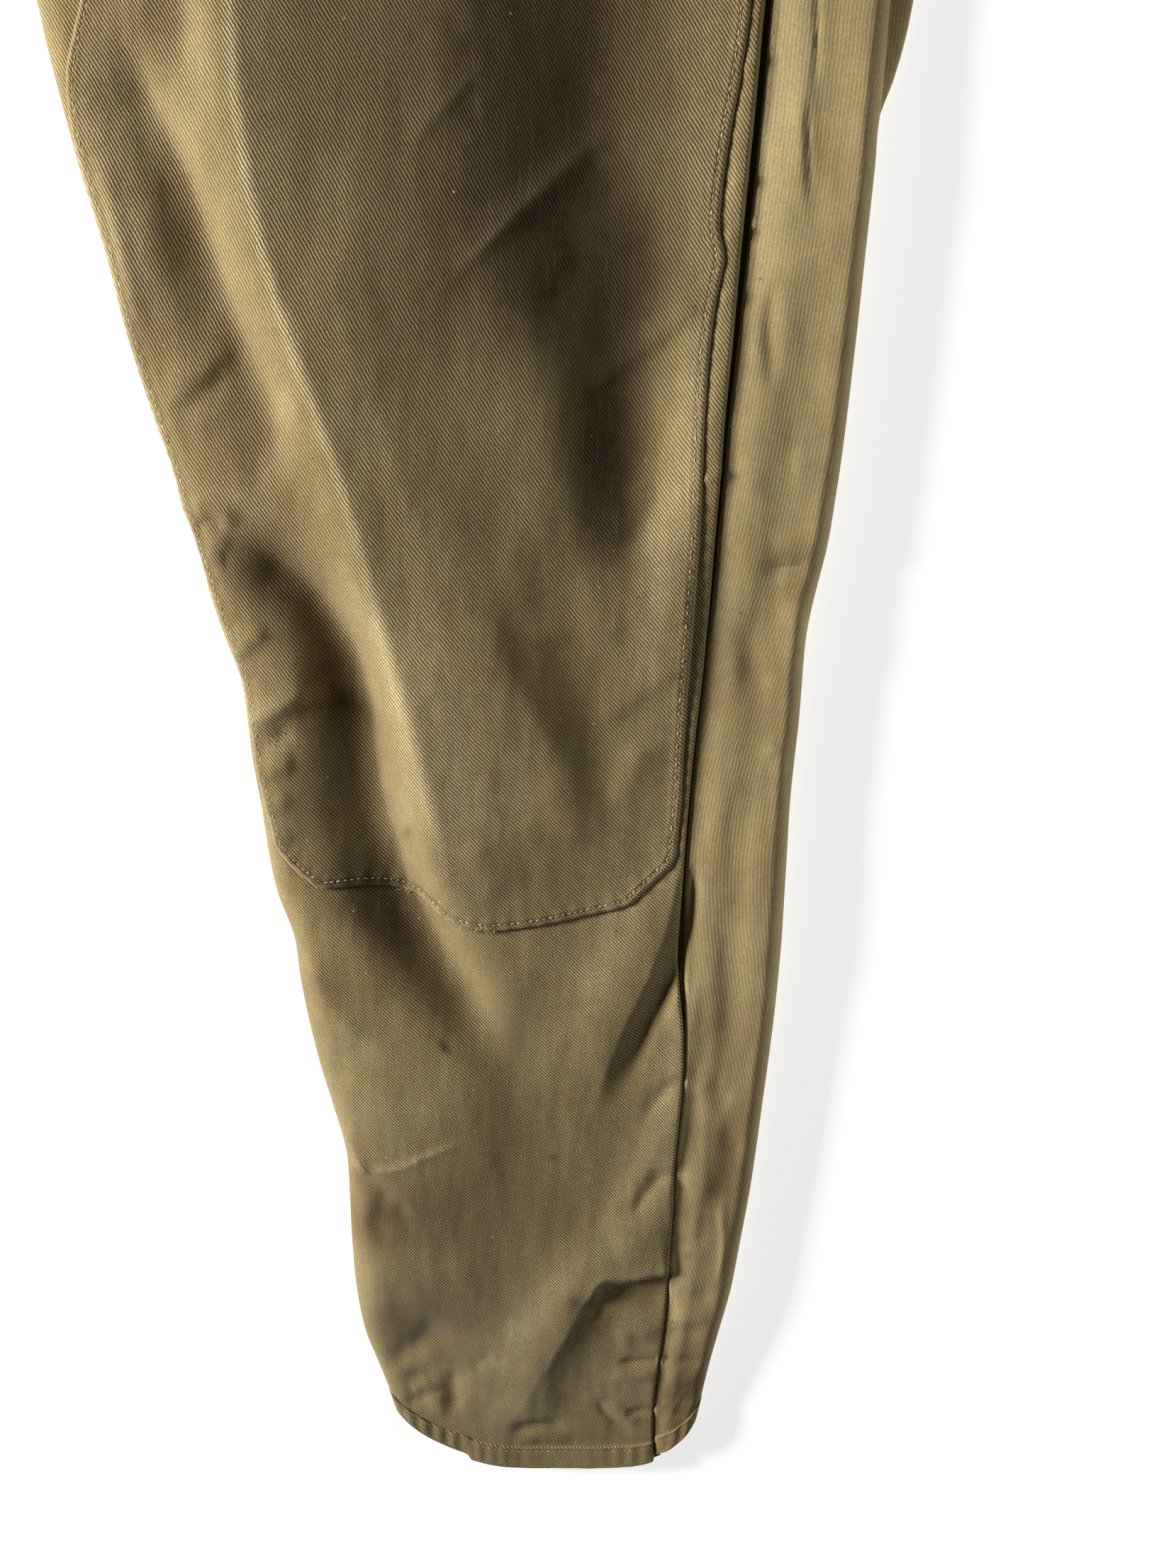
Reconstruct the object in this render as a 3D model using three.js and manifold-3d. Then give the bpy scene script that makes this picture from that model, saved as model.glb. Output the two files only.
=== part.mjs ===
// A pair of military trousers in cotton drill, laid flat on their back with the front up.
// Millimetres, +Z up. The legs run along Y with the waist at +Y, and the wearer's left is at +X.
// Each half is worked out for the wearer's left and mirrored, with its own table of folds.

import * as THREE from "three";
import { mergeVertices } from "three/addons/utils/BufferGeometryUtils.js";
import Module from "manifold-3d";

const wasm = await Module();
wasm.setup();

// Driving dimensions
const cloth = 1.2; // thickness of the drill
const seamGap = 0.3; // between two pieces that are sewn together
const hemLine = 7; // the hem's lowest point, in the heights y that the tables use
const hemRiseInside = 29; // the hem bows: its corner at the inseam lies this much higher
const hemRiseOutside = 26; // and its corner at the side this much
const hemBowEnd = 110; // the rows above this height are straight
const hemDepth = 10.5; // turned-up hem
const hemThickening = 0.8;
const hemShoulder = 4.2; // the mouth of the leg lies flat: its cloth rises no more than this
const crotchLine = 712;
const frontWaist = 968; // lower edge of the waistband at the centre front
const backWaist = 986; // and at the centre back
const sideWaist = 980; // and at the sides
const bandHeight = 40;
const bandThickness = 2.4;
const length = backWaist + bandHeight - hemLine; // from the hem's lowest point to the top of the waistband
const foldHeight = 3.5; // half the height of a folded edge on the floor
const shoulder = 5; // how far the cloth rises beside a folded edge
const shoulderWidth = 12;
const stripShoulderWidth = 10;
const wingShoulder = 3;
const tuck = 2.5; // the front runs this far under the strip at the side seam
const stripLift = 0.8;
const seamMargin = seamGap / 2;
const buttonDiameter = 17;
const buttonThickness = 3.2;
const tabLength = 22; // the left end of the waistband laps over the right by this
const guardColumns = [-14, -5, 0, 5, 12, 21, 30]; // across the fly's guard, from the right to the left
const guardClearance = 0.9;

// Outline of the left half, seen from above: heights y, and across the leg the inseam edge, the side
// seam, the fold beside it and the outermost edge.
const outline = [
  { y: 0, inseam: 151, seam: 278, fold: 298.5, outer: 298.5 },
  { y: 12, inseam: 148, seam: 277.5, fold: 300.5, outer: 300.5 },
  { y: 30, inseam: 144, seam: 278, fold: 303, outer: 303 },
  { y: 58, inseam: 139, seam: 280, fold: 307, outer: 307 },
  { y: 104, inseam: 134.5, seam: 283, fold: 313.5, outer: 313.5 },
  { y: 150, inseam: 134, seam: 284.5, fold: 319.5, outer: 319.5 },
  { y: 172, inseam: 134, seam: 285.5, fold: 322, outer: 322 },
  { y: 194, inseam: 129, seam: 287, fold: 324, outer: 324 },
  { y: 236, inseam: 119, seam: 288, fold: 328, outer: 328 },
  { y: 276, inseam: 115, seam: 287.5, fold: 330, outer: 330 },
  { y: 296, inseam: 108.5, seam: 287.5, fold: 331, outer: 331 },
  { y: 335, inseam: 103, seam: 288.5, fold: 332, outer: 332 },
  { y: 390, inseam: 98, seam: 292.5, fold: 335.5, outer: 335.5 },
  { y: 404, inseam: 93, seam: 293.5, fold: 336.5, outer: 336.5 },
  { y: 443, inseam: 84, seam: 296.5, fold: 343, outer: 343 },
  { y: 457, inseam: 78.5, seam: 298, fold: 345, outer: 345 },
  { y: 495, inseam: 69.5, seam: 301, fold: 349.5, outer: 349.5 },
  { y: 560, inseam: 54.5, seam: 306.5, fold: 354, outer: 354 },
  { y: 606, inseam: 43.5, seam: 310, fold: 357.5, outer: 357.5 },
  { y: 652, inseam: 35.5, seam: 314, fold: 360.5, outer: 369 },
  { y: 690, inseam: 20, seam: 317, fold: 361, outer: 376 },
  { y: 712, inseam: 0.15, seam: 318, fold: 360, outer: 378 },
  { y: 760, inseam: 0.15, seam: 314, fold: 352, outer: 372 },
  { y: 820, inseam: 0.15, seam: 294, fold: 330, outer: 349 },
  { y: 890, inseam: 0.15, seam: 256, fold: 288, outer: 306 },
  { y: 945, inseam: 0.15, seam: 222, fold: 250, outer: 262 },
  { y: 980, inseam: 0.15, seam: 202, fold: 226, outer: 233 },
  { y: 1030, inseam: 0.15, seam: 190, fold: 214, outer: 216 },
];

// How full the tube is, how deep the side seam's groove is and how far it spreads, at each height.
const fullness = [
  { y: 0, loft: 7, groove: 2.4, spread: 5, wing: 0 },
  { y: 150, loft: 8, groove: 3, spread: 6, wing: 0 },
  { y: 300, loft: 11, groove: 6, spread: 9, wing: 0 },
  { y: 450, loft: 12, groove: 6, spread: 10, wing: 0 },
  { y: 600, loft: 13, groove: 8, spread: 15, wing: 1 },
  { y: 712, loft: 12, groove: 5, spread: 14, wing: 2 },
  { y: 800, loft: 11, groove: 3, spread: 10, wing: 4 },
  { y: 900, loft: 7, groove: 2.4, spread: 6, wing: 3 },
  { y: 1030, loft: 3, groove: 2.4, spread: 5, wing: 1 },
];

// The largest folds. Each runs from its first point through its middle one to its last, is that high
// (a trough is negative), and is as wide as given on its left and on its right.
const bodyFolds = [
  { x1: 98, y1: 650, x2: 101, y2: 800, x3: 109, y3: 990, height: 6, left: 20, right: 34 },
  { x1: 24, y1: 722, x2: 78, y2: 748, x3: 168, y3: 762, height: 4, left: 12, right: 14 },
  { x1: 14, y1: 750, x2: 52, y2: 800, x3: 84, y3: 880, height: -4.5, left: 14, right: 14 },
  { x1: 300, y1: 850, x2: 268, y2: 790, x3: 262, y3: 690, height: 5, left: 20, right: 20 },
  { x1: 168, y1: 958, x2: 190, y2: 880, x3: 196, y3: 770, height: -5, left: 22, right: 20 },
];
const leftFolds = [
  { x1: 119, y1: 660, x2: 139, y2: 478, x3: 186, y3: 296, height: 9, left: 15, right: 56 },
  { x1: 66, y1: 634, x2: 97, y2: 556, x3: 115, y3: 508, height: -7, left: 16, right: 12 },
  { x1: 102, y1: 454, x2: 147, y2: 402, x3: 153, y3: 332, height: -7.5, left: 20, right: 13 },
  { x1: 153, y1: 348, x2: 170, y2: 290, x3: 213, y3: 210, height: -6, left: 18, right: 14 },
  { x1: 99, y1: 371, x2: 114, y2: 379, x3: 136, y3: 393, height: 3, left: 6, right: 8 },
  { x1: 250, y1: 735, x2: 251, y2: 560, x3: 263, y3: 420, height: -8.5, left: 34, right: 21 },
  { x1: 214, y1: 476, x2: 241, y2: 376, x3: 251, y3: 318, height: -4, left: 16, right: 12 },
  { x1: 302, y1: 680, x2: 294, y2: 555, x3: 284, y3: 428, height: 3.5, left: 17, right: 9 },
  { x1: 290, y1: 312, x2: 280, y2: 248, x3: 242, y3: 168, height: -6.5, left: 13, right: 8 },
  { x1: 280, y1: 318, x2: 262, y2: 250, x3: 236, y3: 184, height: 4.5, left: 22, right: 10 },
  { x1: 285, y1: 162, x2: 240, y2: 104, x3: 198, y3: 26, height: 6.5, left: 17, right: 9 },
  { x1: 253, y1: 112, x2: 238, y2: 80, x3: 211, y3: 36, height: -4.5, left: 7, right: 12 },
];
const rightFolds = [
  { x1: 122, y1: 668, x2: 136, y2: 470, x3: 190, y3: 262, height: 8.5, left: 16, right: 54 },
  { x1: 60, y1: 644, x2: 92, y2: 570, x3: 112, y3: 512, height: -7, left: 15, right: 12 },
  { x1: 94, y1: 474, x2: 140, y2: 418, x3: 150, y3: 340, height: -7, left: 18, right: 14 },
  { x1: 150, y1: 352, x2: 172, y2: 282, x3: 208, y3: 208, height: -5.5, left: 16, right: 14 },
  { x1: 256, y1: 720, x2: 256, y2: 600, x3: 250, y3: 450, height: -8, left: 34, right: 22 },
  { x1: 284, y1: 440, x2: 252, y2: 396, x3: 238, y3: 330, height: -4, left: 14, right: 15 },
  { x1: 286, y1: 300, x2: 274, y2: 236, x3: 248, y3: 180, height: -5.5, left: 12, right: 9 },
  { x1: 284, y1: 196, x2: 254, y2: 134, x3: 206, y3: 44, height: 6, left: 16, right: 11 },
  { x1: 240, y1: 118, x2: 222, y2: 84, x3: 205, y3: 40, height: -4.5, left: 9, right: 12 },
  { x1: 140, y1: 96, x2: 166, y2: 92, x3: 192, y3: 100, height: -3, left: 9, right: 9 },
];
const foldSteps = 12;

// Where the rows of the panels lie, from the hem to the waist.
const legRows = 24;
const rowHeights = [
  0,
  hemDepth - 0.4,
  hemDepth + 0.8,
  ...Array.from({ length: legRows }, (_, k) => 36 + (k * (686 - 36)) / (legRows - 1)),
  703,
  crotchLine,
  728,
  748,
  782,
  818,
  854,
  890,
  926,
  950,
  frontWaist,
];

const clamp = (value, low, high) => Math.min(high, Math.max(low, value));

function smooth(from, to, value) {
  const t = clamp((value - from) / (to - from), 0, 1);
  return t * t * (3 - 2 * t);
}

// A quarter of an ellipse: 0 at the edge of a fold and 1 where its shoulder ends.
const roundOff = (share) => Math.sqrt(1 - (1 - clamp(share, 0, 1)) ** 2);

// The value of a table's column at height y, on a smooth curve through its rows.
function follow(table, column, y) {
  const last = table.length - 1;
  const k = clamp(table.findIndex((row) => row.y > y) - 1, 0, last - 1);
  const i = y >= table[last].y ? last - 1 : k;
  const slope = (n) => {
    const [a, b] = [table[Math.max(n - 1, 0)], table[Math.min(n + 1, last)]];
    return (b[column] - a[column]) / (b.y - a.y);
  };
  const [low, high] = [table[i], table[i + 1]];
  const step = high.y - low.y;
  const t = clamp((y - low.y) / step, 0, 1);
  return (
    low[column] * (1 + 2 * t) * (1 - t) ** 2 +
    slope(i) * step * t * (1 - t) ** 2 +
    high[column] * t * t * (3 - 2 * t) -
    slope(i + 1) * step * t * t * (1 - t)
  );
}

// What one fold adds at a point: nothing at its ends, its full height along its middle stretch.
function foldHeightAt(fold, x, y) {
  const bend = [
    2 * fold.x2 - (fold.x1 + fold.x3) / 2,
    2 * fold.y2 - (fold.y1 + fold.y3) / 2,
  ];
  const at = (t) => [
    fold.x1 * (1 - t) ** 2 + bend[0] * 2 * t * (1 - t) + fold.x3 * t * t,
    fold.y1 * (1 - t) ** 2 + bend[1] * 2 * t * (1 - t) + fold.y3 * t * t,
  ];
  let nearest = { distance: Infinity };
  for (let k = 0; k < foldSteps; k++) {
    const [ax, ay] = at(k / foldSteps);
    const [bx, by] = at((k + 1) / foldSteps);
    const [dx, dy] = [bx - ax, by - ay];
    const along = clamp(((x - ax) * dx + (y - ay) * dy) / (dx * dx + dy * dy), 0, 1);
    const [px, py] = [x - ax - along * dx, y - ay - along * dy];
    const distance = Math.hypot(px, py);
    if (distance < nearest.distance)
      nearest = { distance, t: (k + along) / foldSteps, onRight: dx * py - dy * px > 0 === dy < 0 };
  }
  const ends = smooth(0, 0.3, nearest.t) * smooth(0, 0.3, 1 - nearest.t);
  const width = nearest.onRight ? fold.right : fold.left;
  return fold.height * ends * Math.exp(-((nearest.distance / width) ** 2));
}

// Edges of the half at height y.
function edges(y) {
  const at = (column) => follow(outline, column, y);
  return {
    inseam: y >= crotchLine ? seamMargin : Math.max(at("inseam"), seamMargin),
    seam: at("seam"),
    fold: Math.min(at("fold"), at("outer")),
    outer: at("outer"),
  };
}

// Height of the upper cloth's face above the floor. The strip is the back's part beside the side seam.
function topHeight(folds, x, y, onStrip) {
  const { inseam, seam, fold, outer } = edges(y);
  const inBody = smooth(690, 770, y);
  const across = clamp((x - inseam) / (outer - inseam), 0, 1);
  const legShape = Math.sin(Math.PI * across) ** 0.45;
  const bodyShape = Math.cos((Math.PI / 2) * clamp(x / outer, 0, 1)) ** 0.6;
  const full = smooth(0, hemBowEnd, y);
  const loft = full * follow(fullness, "loft", y) * (legShape * (1 - inBody) + bodyShape * inBody);
  let height = hemShoulder + full * (shoulder - hemShoulder) + loft;
  for (const row of [...folds, ...bodyFolds]) height += foldHeightAt(row, x, y);
  if (onStrip) height += stripLift;
  else {
    const away = Math.max(seam - x, 0) / follow(fullness, "spread", y);
    height -= follow(fullness, "groove", y) * Math.exp(-away * away);
  }
  const closed = 1 - smooth(crotchLine, 750, y);
  const inner = 1 - closed * (1 - roundOff((x - inseam) / shoulderWidth));
  const side = roundOff((fold - x) / stripShoulderWidth);
  const wing = onStrip && outer > fold + 0.5 ? wingShoulder + follow(fullness, "wing", y) : 0;
  const wingHeight = wing * roundOff((outer - x) / shoulderWidth);
  return foldHeight + Math.max(Math.max(height, 1.5) * side * inner, wingHeight);
}

// The row's height at a point: bowed at the hem and at the waist, where the front dips.
function rowY(row, across, waist) {
  const fromMiddle = 2 * across - 1;
  const rise = fromMiddle < 0 ? hemRiseInside * (-fromMiddle) ** 2.7 : hemRiseOutside * fromMiddle ** 5;
  const bowAtHem = (hemLine + rise) * (1 - smooth(0, hemBowEnd, row));
  return row + bowAtHem + (waist - frontWaist) * smooth(880, frontWaist, row);
}

// The height at which the row meets the side, where its section is taken.
const level = (row) => row + (sideWaist - frontWaist) * smooth(880, frontWaist, row);

// The waistband's lower edge: it rises in a straight line from the centre to the side.
function waistRise(x, front) {
  const centre = front ? frontWaist : backWaist;
  return centre + (sideWaist - centre) * clamp(x / edges(sideWaist).outer, 0, 1);
}

const inHem = (row) => row < hemDepth;

// The points of a row moved into the cloth, square to it in the section's plane. The first and the last
// point may be given their own direction, as the end faces of a seam are.
function offsetRow(points, inward, ends = {}) {
  return points.map(([x, y, z], k) => {
    const [a, b] = [points[Math.max(k - 1, 0)], points[Math.min(k + 1, points.length - 1)]];
    const own = k === 0 ? ends.first : k === points.length - 1 ? ends.last : undefined;
    const [dx, dz] = own ?? [b[2] - a[2], a[0] - b[0]];
    const size = Math.hypot(dx, dz);
    return [x + (inward * dx) / size, y, z + (inward * dz) / size];
  });
}

// A closed wall between two grids of points that match, turned so that its faces point out.
function wall(outerGrid, innerGrid) {
  const [rows, columns] = [outerGrid.length, outerGrid[0].length];
  const points = [...outerGrid.flat(), ...innerGrid.flat()];
  const triangles = [];
  const at = (layer, r, c) => layer * rows * columns + r * columns + c;
  const quad = (a, b, c, d) => triangles.push(a, b, c, a, c, d);
  for (let r = 0; r < rows - 1; r++)
    for (let c = 0; c < columns - 1; c++) {
      quad(at(0, r, c), at(0, r, c + 1), at(0, r + 1, c + 1), at(0, r + 1, c));
      quad(at(1, r, c), at(1, r + 1, c), at(1, r + 1, c + 1), at(1, r, c + 1));
    }
  for (let r = 0; r < rows - 1; r++) {
    quad(at(0, r, 0), at(0, r + 1, 0), at(1, r + 1, 0), at(1, r, 0));
    quad(at(0, r + 1, columns - 1), at(0, r, columns - 1), at(1, r, columns - 1), at(1, r + 1, columns - 1));
  }
  for (let c = 0; c < columns - 1; c++) {
    quad(at(0, 0, c + 1), at(0, 0, c), at(1, 0, c), at(1, 0, c + 1));
    quad(at(0, rows - 1, c), at(0, rows - 1, c + 1), at(1, rows - 1, c + 1), at(1, rows - 1, c));
  }
  return facingOut(points, triangles);
}

function facingOut(points, triangles) {
  let volume = 0;
  for (let k = 0; k < triangles.length; k += 3) {
    const [a, b, c] = [0, 1, 2].map((n) => new THREE.Vector3(...points[triangles[k + n]]));
    volume += a.dot(b.cross(c));
  }
  const turned = volume < 0 ? [...triangles].reverse() : triangles;
  const geometry = new THREE.BufferGeometry();
  geometry.setAttribute("position", new THREE.Float32BufferAttribute(points.flat(), 3));
  geometry.setIndex(turned);
  return geometry;
}

// The front: from the inseam, over the leg, to just under the strip at the side seam.
function frontRow(folds, row) {
  const { inseam, seam } = edges(level(row));
  const shoulderColumns = [0, 22.5, 45, 67.5, 90].map(
    (angle) => inseam + shoulderWidth * (1 - Math.cos((angle * Math.PI) / 180)),
  );
  const [first, last, middle] = [inseam + shoulderWidth, seam - 10, 12];
  const middleColumns = Array.from(
    { length: middle },
    (_, k) => first + ((k + 1) * (last - first)) / middle,
  );
  const columns = [...shoulderColumns, ...middleColumns, seam - 6, seam - 3, seam - 0.5, seam + tuck];
  const width = edges(level(row)).outer - inseam;
  return columns.map((x, k) => {
    const z = topHeight(folds, x, level(row), false) + (k === 0 ? seamMargin : 0);
    return [x, rowY(row, (x - inseam) / width, waistRise(x, true)), z];
  });
}

// The back: the strip beside the side seam, round the side, and flat on the floor to the inseam.
function backRow(folds, row) {
  const { inseam, seam, fold, outer } = edges(level(row));
  const start = seam - 1;
  const shoulderEnd = fold - stripShoulderWidth;
  const strip = [0, 0.08, 0.4, 0.72, 1].map((share) => start + share * (shoulderEnd - start));
  const side = [25, 45, 62, 76].map(
    (angle) => fold - stripShoulderWidth * (1 - Math.sin((angle * Math.PI) / 180)),
  );
  const beside = side.at(-1);
  const wing = [0.4, 0.75, 0.93].map((share) => beside + share * (outer - beside));
  const width = outer - inseam;
  const onTop = [...strip, ...side, ...wing].map((x) => [x, topHeight(folds, x, level(row), true)]);
  const corner = [90, 60, 30, 0].map((angle) => {
    const radians = (angle * Math.PI) / 180;
    return [outer - foldHeight * (1 - Math.sin(radians)), foldHeight * (1 - Math.cos(radians))];
  });
  const closed = 1 - smooth(700, 740, row);
  const radius = foldHeight * closed;
  const inner = [0, 30, 60, 90].map((angle) => {
    const radians = (angle * Math.PI) / 180;
    const x = inseam + radius * (1 - Math.sin(radians)) + ((1 - closed) * 3 * (90 - angle)) / 90;
    const z = radius * (1 - Math.cos(radians)) - (angle === 90 ? seamMargin * closed : 0);
    return [x, z];
  });
  const flat = [0.3, 0.65].map((share) => [outer - foldHeight - share * (width - 2 * foldHeight), 0]);
  const profile = [...onTop, ...corner, ...flat, ...inner];
  const under = onTop.length + 2;
  return profile.map(([x, z], k) => {
    const waist = waistRise(x, k < under);
    return [x, rowY(row, (x - inseam) / width, waist), Math.max(z, 0)];
  });
}

// A panel's wall. The hem's band stands out by the turned-up cloth where it doesn't lie on the floor.
function panel(rowOf, folds) {
  const outer = [];
  const inner = [];
  for (const row of rowHeights) {
    const points = rowOf(folds, row);
    const open = smooth(705, 745, row);
    const ends = rowOf === frontRow ? { first: [1 - open, -open] } : { last: [1 - open, open] };
    const lifted = inHem(row) ? offsetRow(points, -hemThickening) : points;
    outer.push(lifted.map((point, k) => (points[k][2] < foldHeight ? points[k] : point)));
    inner.push(offsetRow(points, cloth, ends).map(([x, y, z]) => [Math.max(x, seamMargin), y, z]));
  }
  return { geometry: wall(outer, inner), outer };
}

const asManifold = (geometry) => {
  const bare = geometry.index ? geometry.toNonIndexed() : geometry.clone();
  bare.deleteAttribute("normal");
  bare.deleteAttribute("uv");
  const merged = mergeVertices(bare, 1e-4);
  return new wasm.Manifold(
    new wasm.Mesh({
      numProp: 3,
      vertProperties: merged.attributes.position.array,
      triVerts: new Uint32Array(merged.index.array),
    }),
  );
};

function asGeometry(manifold) {
  const mesh = manifold.getMesh();
  const geometry = new THREE.BufferGeometry();
  geometry.setAttribute("position", new THREE.BufferAttribute(mesh.vertProperties, 3));
  geometry.setIndex(new THREE.BufferAttribute(mesh.triVerts, 1));
  return geometry;
}

// The knee patch seen from above: its sides follow the inseam and the side seam, its lower corners are
// cut off, and its top is an arch.
const patchInset = 2;
const patchSides = [
  { y: 325, fromSeam: 6 },
  { y: 450, fromSeam: 6.5 },
  { y: 560, fromSeam: 10 },
  { y: 600, fromSeam: 11 },
  { y: 640, fromSeam: 5 },
  { y: 690, fromSeam: 3 },
];
function patchShape() {
  const left = (y) => edges(y).inseam + patchInset;
  const right = (y) => edges(y).seam - follow(patchSides, "fromSeam", y);
  const shape = new THREE.Shape();
  shape.moveTo(left(328), 328);
  shape.lineTo(128, 305);
  shape.lineTo(164, 303);
  shape.quadraticCurveTo(176, 292, 188, 288);
  shape.quadraticCurveTo(220, 287, 261, 297);
  shape.lineTo(right(322), 322);
  for (let y = 350; y <= 680; y += 30) shape.lineTo(right(y), y);
  shape.bezierCurveTo(304, 745, 210, 772, 142, 742);
  shape.bezierCurveTo(96, 722, 66, 676, 52, 630);
  for (let y = 600; y >= 350; y -= 25) shape.lineTo(left(y), y);
  shape.closePath();
  return shape;
}

// The patch is made from the front's own points, moved out, and trimmed to its shape.
function patch(frontOuter) {
  const covered = frontOuter.slice(9, -6);
  const under = covered.map((row) => offsetRow(row, -seamGap));
  const over = covered.map((row) => offsetRow(row, -seamGap - cloth));
  const trim = new THREE.ExtrudeGeometry(patchShape(), { depth: 80, bevelEnabled: false, curveSegments: 6 });
  return asGeometry(asManifold(wall(over, under)).intersect(asManifold(trim)));
}

// One half of the waistband: from its end in front over the top, round the side, and under to the centre
// back. The left half's tab passes the centre and is stepped up over the right half.
function waistband(folds, tabColumns) {
  const { outer } = edges(sideWaist);
  const start = tabColumns.at(-1);
  const top = [0.12, 0.3, 0.5, 0.7, 0.85].map((share) => start + share * (outer - shoulderWidth - start));
  const shoulderColumns = [0, 30, 55, 75].map(
    (angle) => outer - shoulderWidth * (1 - Math.sin((angle * Math.PI) / 180)),
  );
  const corner = [90, 60, 30, 0].map((angle) => {
    const radians = (angle * Math.PI) / 180;
    return [outer - foldHeight * (1 - Math.sin(radians)), foldHeight * (1 - Math.cos(radians))];
  });
  const bottom = [0.33, 0.66].map((share) => [(outer - foldHeight) * (1 - share), 0]);
  const onTop = [...tabColumns, ...top, ...shoulderColumns].map((x) => {
    const step = tabColumns.length > 1 ? (bandThickness + seamGap) * (1 - smooth(1.5, 7, x)) : 0;
    return [x, bandTop(folds, Math.abs(x)) + step];
  });
  const profile = [...onTop, ...corner, ...bottom, [seamMargin, 0]];
  const under = onTop.length + 2;
  const rows = [seamGap, bandHeight / 2, bandHeight];
  const grid = rows.map((up) =>
    profile.map(([x, z], k) => {
      const lean = ((outer - edges(sideWaist + up).outer) * Math.max(x, 0)) / outer;
      return [x - lean, waistRise(Math.abs(x), k < under) + up, z];
    }),
  );
  const ends = { first: [0, -1], last: [0, 1] };
  return wall(grid, grid.map((row) => offsetRow(row, bandThickness, ends)));
}

const bandTop = (folds, x) => topHeight(folds, x, sideWaist, true) + (bandThickness - cloth) / 2;

// The guard behind the fly: a strip of cloth under both fronts, just clear of them.
function flyGuard() {
  const guardRows = rowHeights.filter((row) => row > 770);
  const outer = guardRows.map((row) =>
    guardColumns.map((x) => {
      const folds = x < 0 ? rightFolds : leftFolds;
      const front = topHeight(folds, Math.max(Math.abs(x), seamMargin), level(row), false);
      return [x, rowY(row, 0, waistRise(Math.abs(x), true)), front - cloth - guardClearance];
    }),
  );
  return wall(outer, outer.map((points) => points.map(([x, y, z]) => [x, y, z - cloth])));
}

// A turned four-hole button, its underside just clear of the waistband.
function button() {
  const radius = buttonDiameter / 2;
  const profile = [
    [0, 0],
    [radius * 0.7, 0],
    [radius, buttonThickness * 0.45],
    [radius, buttonThickness * 0.75],
    [radius * 0.88, buttonThickness],
    [radius * 0.68, buttonThickness * 0.72],
    [0, buttonThickness * 0.62],
  ].map(([x, y]) => new THREE.Vector2(x, y));
  const disc = new THREE.LatheGeometry(profile, 28).rotateX(Math.PI / 2);
  let made = asManifold(disc);
  if (made.volume() < 0) made = asManifold(facingOut(pointsOf(disc), [...disc.index.array]));
  for (let k = 0; k < 4; k++) {
    const hole = new THREE.CylinderGeometry(1, 1, 12, 10).rotateX(Math.PI / 2);
    const angle = ((k + 0.5) * Math.PI) / 2;
    hole.translate(2.4 * Math.cos(angle), 2.4 * Math.sin(angle), 0);
    made = made.subtract(asManifold(hole));
  }
  return asGeometry(made);
}

function pointsOf(geometry) {
  const position = geometry.getAttribute("position");
  return Array.from({ length: position.count }, (_, k) => [
    position.getX(k),
    position.getY(k),
    position.getZ(k),
  ]);
}

const drill = new THREE.MeshStandardMaterial({ color: 0x8a7a54, roughness: 0.92, metalness: 0 });
const patchDrill = new THREE.MeshStandardMaterial({ color: 0x83744e, roughness: 0.92, metalness: 0 });
const stripDrill = new THREE.MeshStandardMaterial({ color: 0x958459, roughness: 0.92, metalness: 0 });
const horn = new THREE.MeshStandardMaterial({ color: 0x4a3a26, roughness: 0.5, metalness: 0 });

function named(name, geometry, material) {
  const mesh = new THREE.Mesh(geometry, material);
  mesh.name = name;
  return mesh;
}

function half(name, folds, mirrored) {
  const side = new THREE.Group();
  const front = panel(frontRow, folds);
  side.add(named("front_" + name, front.geometry, drill));
  side.add(named("back_" + name, panel(backRow, folds).geometry, stripDrill));
  side.add(named("knee_patch_" + name, patch(front.outer), patchDrill));
  const tab = mirrored ? [seamMargin] : [-tabLength, -8, 1.5, 4, 7];
  side.add(named("waistband_" + name, waistband(folds, tab), drill));
  if (mirrored) side.scale.x = -1;
  return side;
}

const trousers = new THREE.Group();
trousers.position.y = -(hemLine + length / 2);
trousers.add(half("left", leftFolds, false));
trousers.add(half("right", rightFolds, true));

const waistButton = named("waist_button", button(), horn);
const tabHeight = bandTop(leftFolds, tabLength / 2) + bandThickness + seamGap;
waistButton.position.set(-tabLength / 2, frontWaist + bandHeight / 2, tabHeight + seamGap + 0.1);
trousers.add(waistButton);
trousers.add(named("fly_guard", flyGuard(), drill));

const part = new THREE.Group();
part.add(trousers);

export default part;
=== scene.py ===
# Military trousers in cotton drill, laid flat on their back with the front up.
# Shapes are worked out in millimetres: x from the centre front to the wearer's left, y from the hem to the
# waist, z from the surface up. toMetres puts them in the part's own frame.
import math

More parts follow.
